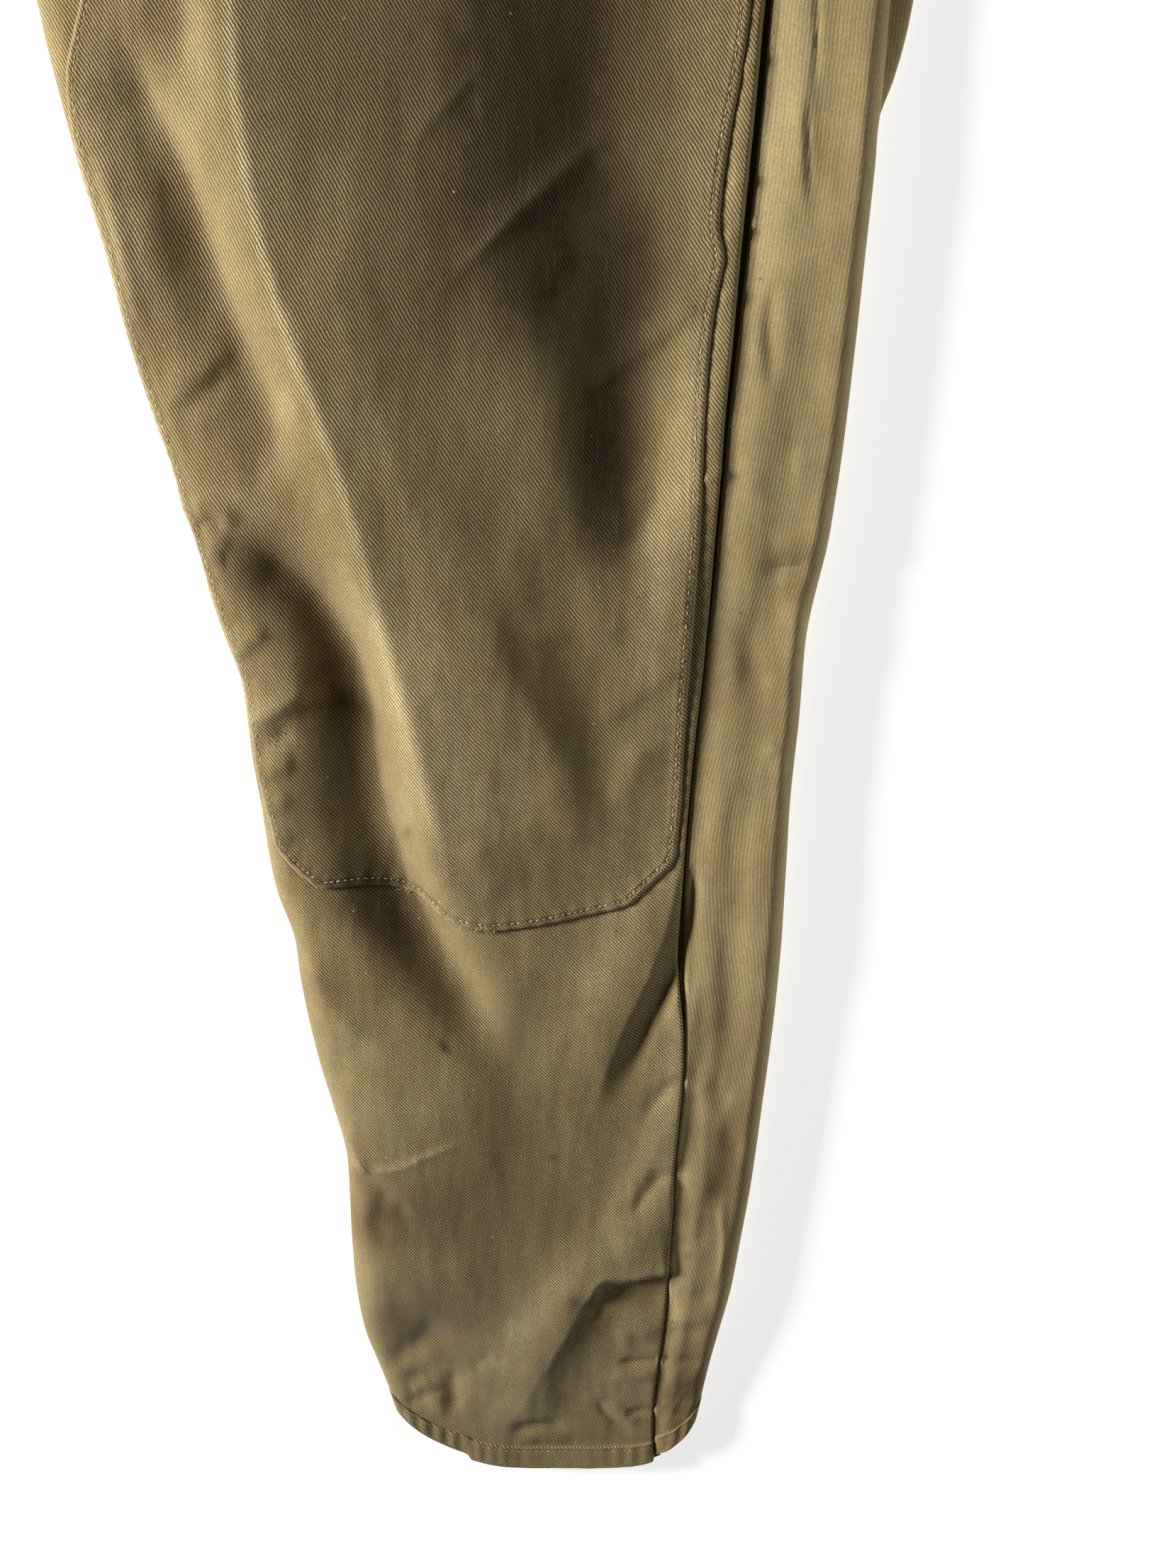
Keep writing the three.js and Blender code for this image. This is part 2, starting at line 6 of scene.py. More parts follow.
import bpy
import numpy as np
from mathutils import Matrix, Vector


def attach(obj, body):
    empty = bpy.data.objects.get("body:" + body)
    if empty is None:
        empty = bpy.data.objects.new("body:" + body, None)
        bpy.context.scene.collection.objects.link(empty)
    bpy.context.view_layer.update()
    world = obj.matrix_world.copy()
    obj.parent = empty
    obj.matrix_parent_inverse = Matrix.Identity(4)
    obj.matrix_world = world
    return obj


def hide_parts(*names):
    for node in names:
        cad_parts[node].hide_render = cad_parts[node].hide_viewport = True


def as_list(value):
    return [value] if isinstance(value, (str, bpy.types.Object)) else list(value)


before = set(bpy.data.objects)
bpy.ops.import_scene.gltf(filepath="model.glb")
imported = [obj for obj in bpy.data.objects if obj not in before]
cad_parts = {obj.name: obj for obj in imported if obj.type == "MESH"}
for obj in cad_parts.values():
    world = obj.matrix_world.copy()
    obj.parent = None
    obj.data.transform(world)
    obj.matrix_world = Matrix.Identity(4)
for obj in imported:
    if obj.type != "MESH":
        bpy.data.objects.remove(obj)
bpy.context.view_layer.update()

garment = dict(middle=516.5, cloth=1.2, seamGap=0.3, foldHeight=3.5, shoulder=5.0, shoulderWidth=12.0,
               stripShoulder=9.0, stripSlope=2.4, stripLift=1.4, wingShoulder=3.0, tuck=2.5, crotch=712.0,
               hemDepth=10.5, hemStitch=8.9, hemThickening=0.8, hemLine=7.0, hemShoulder=4.2, hemBowEnd=110.0,
               hemRiseInside=29.0, hemRiseOutside=26.0, waistStart=880.0, frontWaist=968.0, backWaist=986.0,
               sideWaist=980.0, waistHalf=233.0, middleGap=0.15, inseamSplit=0.15)

# The turned cloth of each front's hem laps over itself between two places in x. Outside them its edge lies
# lower and is thicker.
hemStep = dict(left=(185.5, 188.5), right=(180.0, 183.0), drop=2.4, lift=0.5, dropEnd=24.0)

# The camera stands over the thigh and looks down the leg, so raised cloth is seen further from its foot.
photo = dict(lens=26.5, x=245.0, y=444.7, z=494.9, tilt=11.5)

# The arch of the upper cloth, and what is added to it and taken from it
arch = dict(bodyStart=690, bodyEnd=770, closedEnd=750, legPower=0.45, bodyPower=0.6, swell=0.55, crinkle=0.05,
            stripDrop=0.22, welt=0.22, groove=1.02, least=1.5)


def toMetres(points, mirrored):
    # from the left half's millimetres to the part's frame; the right half is mirrored
    place = np.array(points, float) * 0.001
    place[..., 1] -= garment["middle"] * 0.001
    if mirrored:
        place[..., 0] *= -1
    return place


def smoothStep(low, high, value):
    t = np.clip((value - low) / (high - low), 0, 1)
    return t * t * (3 - 2 * t)


def roundOff(share):
    # a quarter of an ellipse: 0 at an edge, 1 where its shoulder ends
    return np.sqrt(np.maximum(0, 1 - (1 - np.clip(share, 0, 1)) ** 2))


def bell(distance, width, power=2.0):
    return np.exp(-(np.abs(distance) / width) ** power)


def unit(vectors):
    return vectors / np.maximum(np.linalg.norm(vectors, axis=-1, keepdims=True), 1e-9)


def lengthsAlong(line):
    # how far along a line each of its points lies
    return np.concatenate([[0], np.cumsum(np.linalg.norm(np.diff(line, axis=0), axis=1))])


def pointsAt(wanted, lengths, line):
    return np.stack([np.interp(wanted, lengths, column) for column in line.T], axis=-1)


def follow(table, column, y):
    # a smooth curve (cubic Hermite) through one column of a table, at the heights y
    names, rows = table
    data = np.array(rows, float)
    ys, values = data[:, 0], data[:, names.index(column)]
    slope = np.empty_like(values)
    slope[1:-1] = (values[2:] - values[:-2]) / (ys[2:] - ys[:-2])
    slope[0] = (values[1] - values[0]) / (ys[1] - ys[0])
    slope[-1] = (values[-1] - values[-2]) / (ys[-1] - ys[-2])
    k = np.clip(np.searchsorted(ys, y, side="right") - 1, 0, len(ys) - 2)
    step = ys[k + 1] - ys[k]
    t = np.clip((y - ys[k]) / step, 0, 1)
    return (values[k] * (1 + 2 * t) * (1 - t) ** 2 + slope[k] * step * t * (1 - t) ** 2
            + values[k + 1] * t * t * (3 - 2 * t) - slope[k + 1] * step * t * t * (1 - t))


def through(path, steps=8):
    # a Catmull-Rom curve through a short list of points
    p = np.array(path, float)
    if len(p) == 2:
        return p[0] + (p[1] - p[0]) * np.linspace(0, 1, steps + 1)[:, None]
    q = np.vstack([2 * p[0] - p[1], p, 2 * p[-1] - p[-2]])
    t = np.linspace(0, 1, steps, endpoint=False)[:, None]
    spans = []
    for a, b, c, d in zip(q[:-3], q[1:-2], q[2:-1], q[3:]):
        spans.append(0.5 * (2 * b + (c - a) * t + (2 * a - 5 * b + 4 * c - d) * t ** 2
                            + (3 * b - a - 3 * c + d) * t ** 3))
    return np.vstack(spans + [p[-1:]])


def nearLine(x, y, line):
    # distance to a line, how far along it the nearest point lies (0 to 1), and on which hand (+1 or -1)
    ends = lengthsAlong(line)
    ends /= ends[-1]
    best, share, hand = np.full(x.shape, np.inf), np.zeros(x.shape), np.ones(x.shape)
    for (ax, ay), (bx, by), s0, s1 in zip(line[:-1], line[1:], ends[:-1], ends[1:]):
        dx, dy = bx - ax, by - ay
        t = np.clip(((x - ax) * dx + (y - ay) * dy) / max(dx * dx + dy * dy, 1e-9), 0, 1)
        px, py = x - ax - t * dx, y - ay - t * dy
        distance = np.hypot(px, py)
        closer = distance < best
        best = np.where(closer, distance, best)
        share = np.where(closer, s0 + t * (s1 - s0), share)
        hand = np.where(closer, np.sign(dx * py - dy * px), hand)
    return best, share, hand


# Edges of the left half at each height: the inseam's fold, the side seam, the fold beside it and the
# outermost edge, and how wide the gap before the seam is
outline = (("y", "inseam", "seam", "fold", "outer", "gap"), [
    (0, 151, 278, 298.5, 298.5, 0.8),
    (12, 148, 277.5, 300.5, 300.5, 0.8),
    (30, 144, 277.5, 303, 303, 0.8),
    (58, 139, 279.5, 306.5, 306.5, 0.8),
    (80, 136.5, 281.5, 309.5, 309.5, 0.8),
    (104, 134.5, 283, 313.5, 313.5, 0.7),
    (128, 133.6, 284, 317, 317, 0.7),
    (150, 133.5, 285, 320.2, 320.2, 0.7),
    (172, 132.8, 285.5, 322.7, 322.7, 0.8),
    (194, 127.8, 287.2, 324.8, 324.8, 0.8),
    (214, 122.8, 288.4, 326.8, 326.8, 0.8),
    (236, 118.6, 288.8, 328.8, 328.8, 1.4),
    (256, 115.8, 288.4, 330.2, 330.2, 3.2),
    (276, 113.8, 288.2, 331.2, 331.2, 3.6),
    (296, 107.6, 287.8, 331.7, 331.7, 2.2),
    (315, 104.6, 288.2, 332.2, 332.2, 1.6),
    (335, 102.6, 289.4, 332.6, 332.6, 1.5),
    (354, 100.2, 290.8, 333.8, 333.8, 1.5),
    (372, 98.8, 292.3, 335.2, 335.2, 1.5),
    (390, 97.2, 294, 336, 336, 1.4),
    (409, 91.2, 295.6, 337, 337, 1.5),
    (426, 86.4, 297.2, 340, 340, 1.8),
    (443, 83, 298.4, 343.8, 343.8, 2),
    (452, 80.5, 299, 345.3, 345.3, 2),
    (461, 77.2, 299.7, 346.4, 346.4, 2),
    (478, 74, 301, 348.4, 348.4, 2),
    (495, 68.6, 302.2, 350, 350, 2.2),
    (528, 59.8, 305.4, 352.6, 352.6, 2.6),
    (560, 53.4, 308.4, 354.8, 354.8, 3),
    (591, 45.8, 311, 357, 357, 3),
    (608, 42.2, 312.4, 358, 358, 3),
    (622, 39.4, 313.4, 358.8, 363, 3),
    (637, 36.6, 314.4, 359.4, 367, 3),
    (652, 34, 315.2, 360.2, 369.6, 2.6),
    (690, 20, 317, 361, 376, 2),
    (712, 0.15, 318, 360, 378, 1.5),
    (760, 0.15, 314, 352, 372, 1),
    (820, 0.15, 294, 330, 349, 0.8),
    (890, 0.15, 256, 288, 306, 0.8),
    (945, 0.15, 222, 250, 262, 0.8),
    (980, 0.15, 202, 226, 233, 0.8),
    (1030, 0.15, 190, 214, 216, 0.8)])

# How full the tube is at each height, how deep the side seam's groove is, how far the welt beside it spreads
# and how wide the front's rounded lip is, and how much the wing of the breeches stands up.
fullness = (("y", "loft", "groove", "spread", "lip", "wing"), [
    (0, 7, 2.4, 4, 1.2, 0),
    (150, 8, 2.8, 4, 1.4, 0),
    (236, 10, 3.6, 4, 1.3, 0),
    (300, 11, 3.8, 3.6, 1.3, 0),
    (350, 11, 3.8, 3.6, 1.3, 0),
    (450, 12, 4.6, 4, 1.5, 0),
    (520, 12, 6, 4.5, 2.1, 0),
    (600, 13, 7, 5, 2.6, 1),
    (712, 12, 5, 6, 3, 2),
    (800, 11, 3, 10, 3, 4),
    (900, 7, 2.4, 6, 2, 3),
    (1030, 3, 2.4, 5, 2, 1)])


def fold(path, height, left, right, power=2.0, ends=(0.3, 0.3), wearAndHighlight=0.0):
    # a ridge (or a trough, if its height is negative) along a path from top to bottom, or from left to right,
    # with its width on its left or lower side and on its right or upper side; its last setting lightens its
    # crest, as wear and as a painted highlight.
    # A height or width may be a tuple of values spread evenly along the path.
    return dict(line=through(path), height=height, left=left, right=right, power=power, ends=ends, wearAndHighlight=wearAndHighlight)


bodyFolds = [
    fold([(98, 690), (100, 800), (109, 950)], 5, 20, 30),
    fold([(24, 722), (78, 748), (168, 762)], 4, 12, 14),
    fold([(84, 880), (52, 800), (14, 750)], -4.5, 14, 14),
    fold([(300, 850), (268, 790), (262, 690)], 5, 20, 20),
    fold([(168, 958), (190, 880), (196, 770)], -5, 22, 20),
    fold([(10, 735), (60, 735), (110, 748)], -2.5, 5, 7),
    fold([(14, 760), (48, 778), (80, 806)], 2.2, 6, 6),
    fold([(60, 930), (66, 880), (60, 830)], 2.4, 9, 9),
    fold([(130, 950), (142, 900), (150, 850)], 2.6, 8, 12),
    fold([(226, 900), (236, 850), (240, 800)], 2.2, 8, 8),
]

leftFolds = [
    # the long ridge from the thigh to the knee: its broad right flank, then its narrow crest, lightened as
    # wear and as a painted highlight
    fold([(118, 720), (115, 660), (115, 620), (117, 590), (122, 556), (131, 522), (145, 480), (156, 440),
          (165, 400), (175, 360), (183, 322), (189, 290), (194, 262)], (6.2, 6.8, 6.4, 6.0, 5.4, 4.6),
         (24, 20, 16, 16, 16, 16), (62, 60, 58, 56, 50, 40), 2.0, (0.1, 0.14)),
    fold([(117, 690), (115, 620), (117, 590), (122, 556), (131, 522), (145, 480), (156, 440), (165, 400),
          (175, 360), (183, 322), (188, 296)], (1.2, 2.2, 2.8, 3.2, 3.0, 2.2), (13, 12, 11, 11, 12),
         (11, 11, 12, 13, 15), 1.55, (0.15, 0.14), 1.3),
    fold([(140, 610), (145, 560), (152, 520), (166, 480), (179, 440), (187, 400), (195, 360), (206, 322)],
         (1.0, 1.4, 1.6, 1.6, 1.2), 12, 20, 2, (0.25, 0.25), 0.2),
    fold([(186, 442), (204, 405), (223, 372), (241, 338), (249, 316)], 2.5, 20, 11, 2, (0.35, 0.25), 0.1),
    fold([(160, 240), (153, 200), (150, 150), (152, 100), (158, 60)], 3.2, 22, 46, 2, (0.3, 0.3)),
    fold([(86, 690), (80, 650), (74, 624)], 1.6, 9, 8),
    fold([(100, 668), (96, 640), (92, 612)], -1.4, 7, 8),
    # hollows beside it: a short one on the thigh, and the long one from the knee's inner side to the calf
    fold([(66, 640), (78, 610), (91, 582), (99, 556), (107, 532), (116, 508), (124, 486), (131, 466)],
         (-3, -7, -8, -7.5, -6, -3.5, -2), (18, 18, 16, 14), 9, 2, (0.16, 0.2)),
    fold([(101, 450), (117, 438), (136, 423), (148, 403), (152, 380), (154, 355), (158, 332), (166, 303),
          (178, 274), (193, 246), (206, 222), (214, 200)], (-3, -10, -13, -13.5, -13, -11, -9, -5),
         (10, 17, 22, 26, 23, 16, 13), (9, 11, 12, 12, 13, 14), 2, (0.08, 0.2)),
    # puckers at the inseam's edge
    fold([(72, 500), (84, 506), (96, 516), (108, 529)], 1.2, 3.6, 7, 1.7),
    fold([(78, 493), (90, 502), (104, 514)], -0.8, 5, 4),
    fold([(83, 457), (90, 461), (98, 459), (104, 452)], 2.2, 2.6, 6, 1.6, (0.3, 0.3)),
    fold([(84, 452), (91, 456), (99, 453)], -1.6, 2.0, 2.0, 1.6),
    fold([(88, 438), (95, 446), (100, 444)], 1.6, 6, 4),
    fold([(96, 399), (104, 406), (114, 413)], 1.8, 3.0, 6, 1.7),
    fold([(98, 371), (110, 377), (126, 386), (134, 392)], 2.8, 4.0, 7, 1.6, (0.2, 0.35), 0.2),
    fold([(101, 361), (112, 365), (122, 371)], -1.6, 4, 4),
    fold([(101, 348), (112, 353), (122, 358)], 1.4, 3.5, 5),
    fold([(102, 334), (112, 337), (120, 342)], 1.2, 3.5, 5),
    fold([(104, 320), (112, 322), (119, 326)], 1.0, 3.5, 5),
    fold([(58, 596), (64, 560), (70, 520)], 1.0, 3, 4, 2, (0.2, 0.3)),
    # the broad valley over the right of the thigh and the knee
    fold([(250, 740), (252, 690), (254, 640), (257, 600), (258, 560), (259, 525), (264, 490), (266, 455),
          (262, 418)], (-5, -9.5, -11.5, -12, -12, -10, -6), (58, 50, 42, 36, 27, 21, 18),
         (64, 72, 72, 56, 34, 22, 16), 2, (0.2, 0.22)),
    fold([(226, 462), (234, 430), (240, 400), (246, 370), (250, 345), (253, 322)],
         (-1, -1.6, -2.0, -1.8, -1.0), 13, 11, 2, (0.25, 0.25)),
    fold([(306, 690), (304, 640), (302, 600), (299, 570), (295, 530), (291, 495), (287, 460), (284, 425),
          (283, 390), (282, 355), (281, 326)], (1.0, 1.2, 1.6, 2.6, 2.4, 2.4, 2.2), (16, 14, 15), 8, 2,
         (0.2, 0.3), 0.15),
    fold([(184, 540), (204, 558), (226, 579), (256, 607)], 1.5, 4, 5, 1.6, (0.3, 0.3), 0.25),
    fold([(176, 590), (190, 606), (206, 622)], 0.7, 3, 5, 1.6, (0.3, 0.3), 0.2),
    fold([(243, 506), (260, 519), (275, 529), (291, 541)], 1.7, 3.6, 9, 1.7, (0.25, 0.2)),
    fold([(258, 438), (266, 452), (276, 466), (291, 478)], -1.3, 8, 6, 1.8, (0.25, 0.2)),
    fold([(216, 410), (240, 413), (268, 411)], 0.8, 5, 6),
    fold([(244, 371), (262, 384), (284, 399)], 1.1, 5, 9, 1.7, (0.3, 0.2)),
    fold([(256, 336), (262, 352), (272, 368)], 1.2, 6, 6),
    fold([(226, 356), (236, 338), (244, 318)], 0.7, 8, 8),
    fold([(196, 330), (204, 312), (212, 298)], 1.0, 8, 8),
    # puckers in the sliver between the patch and the strip
    fold([(300, 583), (305, 584), (310, 587)], 0.9, 1.6, 1.4, 1.6, (0.1, 0.1)),
    fold([(299, 565), (304, 566), (310, 569)], 0.8, 1.6, 1.4, 1.6, (0.1, 0.1)),
    fold([(303, 622), (308, 626), (312, 627)], 0.7, 2, 1.6, 1.6, (0.1, 0.1)),
    fold([(297, 540), (302, 542), (307, 546)], 0.6, 2, 1.6, 1.6, (0.1, 0.1)),
    fold([(291, 472), (295, 473), (300, 476)], 0.8, 1.4, 1.4, 1.6, (0.1, 0.1)),
    # under the patch
    fold([(290, 312), (289, 296), (287, 280), (281, 260), (272, 240), (264, 220), (257, 200), (248, 184)],
         (-1.4, -2.6, -3.0, -2.6, -1.8, -0.8), (6, 6, 7, 9), (3, 3.5, 5, 8), 1.9, (0.1, 0.4)),
    fold([(283, 322), (281, 300), (277, 280), (270, 260), (261, 240), (253, 220), (247, 200), (240, 184)],
         (1.2, 2.4, 2.9, 2.6, 1.9, 1.0), (13, 17, 20, 20), 5, 2, (0.2, 0.35), 0.45),
    fold([(291, 264), (290, 232), (287, 200), (283, 170), (279, 144)], 1.5, 12, 4, 2, (0.2, 0.2), 0.2),
    fold([(289, 213), (281, 209), (274, 200), (268, 188)], -0.9, 4, 3, 1.8, (0.1, 0.3)),
    fold([(286, 200), (277, 184), (269, 166), (262, 148), (256, 136)], 1.3, 9, 6, 1.8),
    fold([(287, 167), (277, 164), (269, 153), (264, 142)], -1.1, 4, 3, 1.8, (0.1, 0.3)),
    fold([(119, 274), (127, 253), (136, 238), (146, 227)], 1.8, 9, 8, 1.9, (0.3, 0.3), 0.2),
    fold([(121, 238), (128, 222), (139, 206)], -0.9, 8, 8),
    fold([(134, 186), (140, 173), (146, 162)], 1.6, 3.5, 3, 1.5, (0.2, 0.3)),
    fold([(138, 168), (146, 160), (158, 150)], -2.0, 6, 5),
    fold([(144, 168), (158, 170), (171, 176), (193, 186)], 0.7, 1.4, 1.8, 1.4, (0.15, 0.4), 0.9),
    fold([(176, 216), (190, 186), (200, 156)], 0.7, 12, 12),
    fold([(141, 136), (152, 144), (166, 150)], -1.8, 7, 6),
    fold([(140, 124), (168, 116), (200, 118)], 1.2, 10, 9),
    # the ridge that slants down to the hem, and the dents round it
    fold([(288, 119), (266, 115), (252, 115), (244, 104), (233, 82), (222, 60), (211, 39), (202, 24)],
         (2.4, 3.4, 3.8, 3.6, 3.2, 2.6, 1.6), (26, 22, 14, 12, 11, 11), (5, 6, 10, 15, 16), 1.8,
         (0.06, 0.16), 0.6),
    fold([(287, 162), (274, 144), (254, 126)], 2.2, 14, 12),
    fold([(251, 107), (246, 97), (239, 80), (228, 60), (215, 40)], (-1.2, -1.2, -1.0, -0.6, -0.3), 5, 13,
         1.8, (0.1, 0.3)),
    fold([(247, 106), (256, 106), (268, 108), (286, 111)], -2.2, 8, 3.2, 1.7, (0.15, 0.15)),
    fold([(236, 106), (246, 98), (254, 90)], -1.2, 4, 4),
    fold([(148, 56), (158, 66), (169, 80), (177, 94)], -2.2, 13, 8, 1.8, (0.3, 0.3)),
    fold([(148, 52), (160, 63), (178, 75)], 1.6, 6, 6),
    fold([(156, 38), (166, 44), (177, 50)], -0.8, 3, 3, 1.8),
    fold([(160, 48), (170, 55)], 0.9, 3, 3),
    fold([(189, 62), (194, 66), (200, 71)], -0.6, 3, 3, 1.8),
    fold([(182, 64), (180, 50), (182, 34)], -1.4, 5, 4),
    fold([(170, 58), (172, 44), (176, 30)], 1.0, 5, 5),
    fold([(206, 24), (216, 28), (226, 29), (236, 26)], -1.5, 3.0, 3.0, 1.8),
    fold([(208, 19), (222, 22), (240, 20)], 0.9, 3, 3),
    fold([(248, 46), (253, 36), (260, 28), (270, 24)], -1.1, 2.6, 2.4, 1.7),
    fold([(255, 44), (263, 34), (272, 30)], 0.8, 3, 3),
    fold([(258, 66), (268, 66), (279, 67)], -1.3, 2.4, 2.0, 1.6, (0.3, 0.1)),
    fold([(256, 60), (268, 58), (278, 60)], 0.9, 3.5, 3),
    fold([(262, 35), (270, 37), (277, 38)], -1.2, 2.2, 2.0, 1.6, (0.3, 0.1)),
    fold([(256, 80), (268, 84), (280, 82)], 1.2, 6, 6),
]

stripFolds = [
    fold([(330, 660), (331, 630), (330, 612)], -0.9, 1.0, 1.2, 1.5, (0.2, 0.3)),
    fold([(328, 612), (329, 592), (331, 572)], -1.0, 1.0, 1.2, 1.5, (0.2, 0.3)),
    fold([(327, 630), (326, 600), (328, 570)], 0.7, 4, 4),
    fold([(318, 548), (316, 530), (318, 505)], -1.3, 2.6, 3.4, 1.7),
    fold([(336, 560), (335, 520), (334, 480)], -0.8, 8, 8),
    fold([(350, 640), (349, 600), (348, 560)], 0.8, 6, 5),
    fold([(322, 487), (333, 485), (346, 486)], -1.3, 2.2, 1.8, 1.6),
    fold([(324, 480), (334, 479), (345, 478)], 0.9, 3, 3),
    fold([(314, 441), (326, 438), (344, 441)], -1.6, 2.4, 2.0, 1.5, (0.3, 0.1)),
    fold([(320, 434), (332, 432), (344, 432)], 1.1, 4, 3),
    fold([(318, 448), (330, 447), (346, 450)], 0.9, 3, 4),
    fold([(326, 428), (332, 412), (334, 394)], 1.6, 7, 5),
    fold([(308, 420), (312, 400), (316, 380)], -1.0, 6, 6),
    fold([(318, 366), (325, 358), (332, 350)], 0.9, 2.2, 2.2, 1.6, (0.3, 0.3), 0.4),
    fold([(334, 372), (331, 360), (330, 340)], -1.1, 3, 3),
    fold([(316, 340), (318, 300), (320, 250)], 1.2, 8, 8),
    fold([(303, 300), (306, 260), (308, 220)], -0.9, 6, 6),
    fold([(300, 214), (304, 206), (311, 203)], -0.8, 4, 3),
    fold([(306, 190), (311, 180), (316, 174)], -1.0, 4, 4),
    fold([(305, 152), (307, 130), (305, 108)], 0.9, 1.2, 2.4, 1.5, (0.2, 0.3), 0.3),
    fold([(286, 164), (296, 163), (300, 152)], 0.9, 5, 5),
    fold([(284, 134), (292, 133), (303, 134)], -0.7, 2.2, 2.2),
    fold([(283, 104), (294, 102), (305, 104)], -0.9, 3, 3),
    fold([(283, 92), (294, 90), (303, 93)], 0.8, 3, 3),
    fold([(282, 82), (290, 84), (300, 82)], -0.8, 2.4, 2.4),
    fold([(280, 67), (290, 66), (301, 67)], -1.2, 1.8, 1.8, 1.6, (0.1, 0.3)),
    fold([(281, 58), (290, 56), (299, 58)], 0.8, 3, 3),
    fold([(280, 46), (290, 44), (298, 45)], -0.9, 2, 2),
    fold([(278, 37), (286, 36), (293, 38)], -0.8, 1.8, 1.8),
]

rightFolds = [
    fold([(98, 700), (106, 640), (120, 560), (136, 480), (150, 410), (166, 340), (182, 280), (190, 240)],
         7.5, 17, 40, 1.5, (0.1, 0.2), 0.9),
    fold([(118, 560), (136, 480), (150, 410), (164, 345)], 1.3, 3.2, 4, 1.3, (0.3, 0.3), 0.9),
    fold([(58, 632), (76, 592), (94, 560), (110, 520)], -6, 12, 12),
    fold([(96, 470), (116, 452), (134, 430), (146, 400), (148, 360)], -7, 11, 10),
    fold([(120, 350), (122, 330), (118, 310)], -3, 8, 8),
    fold([(68, 512), (82, 516), (98, 532)], 2.2, 4, 5, 1.6),
    fold([(76, 478), (92, 480), (112, 470), (130, 452)], 3.0, 5, 8, 1.5),
    fold([(92, 404), (104, 408), (118, 418)], -2.2, 3.5, 3.5, 1.7),
    fold([(96, 384), (110, 386), (128, 396)], 2.6, 5, 6, 1.6),
    fold([(100, 352), (112, 356), (124, 366)], -1.8, 4, 4),
    fold([(246, 725), (250, 680), (246, 620), (236, 560), (230, 500)], -7, 32, 24, 2.2),
    fold([(254, 560), (250, 520), (236, 470)], -5, 16, 14),
    fold([(292, 560), (262, 540), (230, 510)], 2.2, 6, 5, 1.7),
    fold([(288, 490), (270, 470), (244, 452)], 2.0, 6, 6, 1.7),
    fold([(292, 520), (284, 490), (268, 446)], 4, 11, 9),
    fold([(284, 440), (262, 410), (240, 380), (232, 340)], -4, 11, 10),
    fold([(160, 540), (166, 500), (178, 450)], 2, 9, 12),
    fold([(200, 440), (208, 400), (214, 350)], 2.4, 12, 14),
    fold([(286, 370), (264, 350), (242, 334)], 2, 7, 7),
    fold([(142, 320), (160, 290), (178, 258), (198, 222), (208, 200)], -6, 12, 10, 1.8),
    fold([(168, 296), (186, 262), (202, 226)], 2.4, 6, 10, 1.7),
    fold([(284, 300), (276, 262), (262, 226), (246, 186)], -5.5, 11, 8, 1.8),
    fold([(272, 300), (256, 250), (238, 200)], 4, 13, 9, 1.7),
    fold([(288, 190), (274, 182), (264, 166)], -2.6, 5, 4.5, 1.8),
    fold([(124, 262), (134, 240), (146, 226)], 2.2, 5, 5, 1.6),
    fold([(138, 180), (152, 168), (170, 160)], -2.2, 6, 5),
    fold([(280, 150), (258, 124), (232, 96), (212, 62), (202, 30)], 5, 12, 9, 1.6),
    fold([(238, 96), (226, 70), (212, 44)], -4, 6, 9, 1.7),
    fold([(244, 100), (262, 106), (282, 104)], -2.8, 6, 4, 1.6),
    fold([(148, 72), (164, 84), (188, 88)], -2.8, 7, 5, 1.7),
    fold([(158, 42), (170, 50), (180, 54)], -1.2, 3, 3),
    fold([(214, 22), (226, 26), (240, 24)], -1.4, 3, 3),
    fold([(260, 58), (270, 58), (280, 60)], -1.2, 2.4, 2.2, 1.6),
    fold([(262, 34), (272, 36), (280, 36)], -1.1, 2.2, 2.2),
]

rightStripFolds = [
    fold([(328, 640), (330, 600), (328, 560)], -1.0, 1.4, 1.6, 1.5),
    fold([(318, 540), (318, 500), (316, 460)], -1.2, 3, 4),
    fold([(344, 620), (344, 560), (342, 500)], 1.0, 5, 5),
    fold([(316, 462), (330, 460), (346, 464)], -1.4, 2.4, 2.0, 1.6),
    fold([(318, 452), (332, 451), (344, 452)], 1.0, 3, 3),
    fold([(312, 410), (326, 406), (338, 408)], -1.0, 3, 3),
    fold([(326, 400), (328, 370), (330, 340)], 1.4, 7, 5),
    fold([(314, 330), (316, 290), (318, 240)], 1.2, 8, 8),
    fold([(300, 280), (304, 240), (306, 200)], -0.9, 6, 6),
    fold([(286, 172), (298, 170), (312, 174)], -0.9, 3, 3),
    fold([(284, 120), (296, 118), (308, 121)], -0.8, 2.4, 2.4),
    fold([(282, 84), (292, 83), (303, 86)], -0.9, 2, 2),
    fold([(280, 52), (290, 50), (299, 52)], -0.9, 2, 2),
]

halves = {
    "left": dict(mirrored=False, folds=leftFolds + bodyFolds, strip=stripFolds, seed=3),
    "right": dict(mirrored=True, folds=rightFolds + bodyFolds, strip=rightStripFolds, seed=8),
}


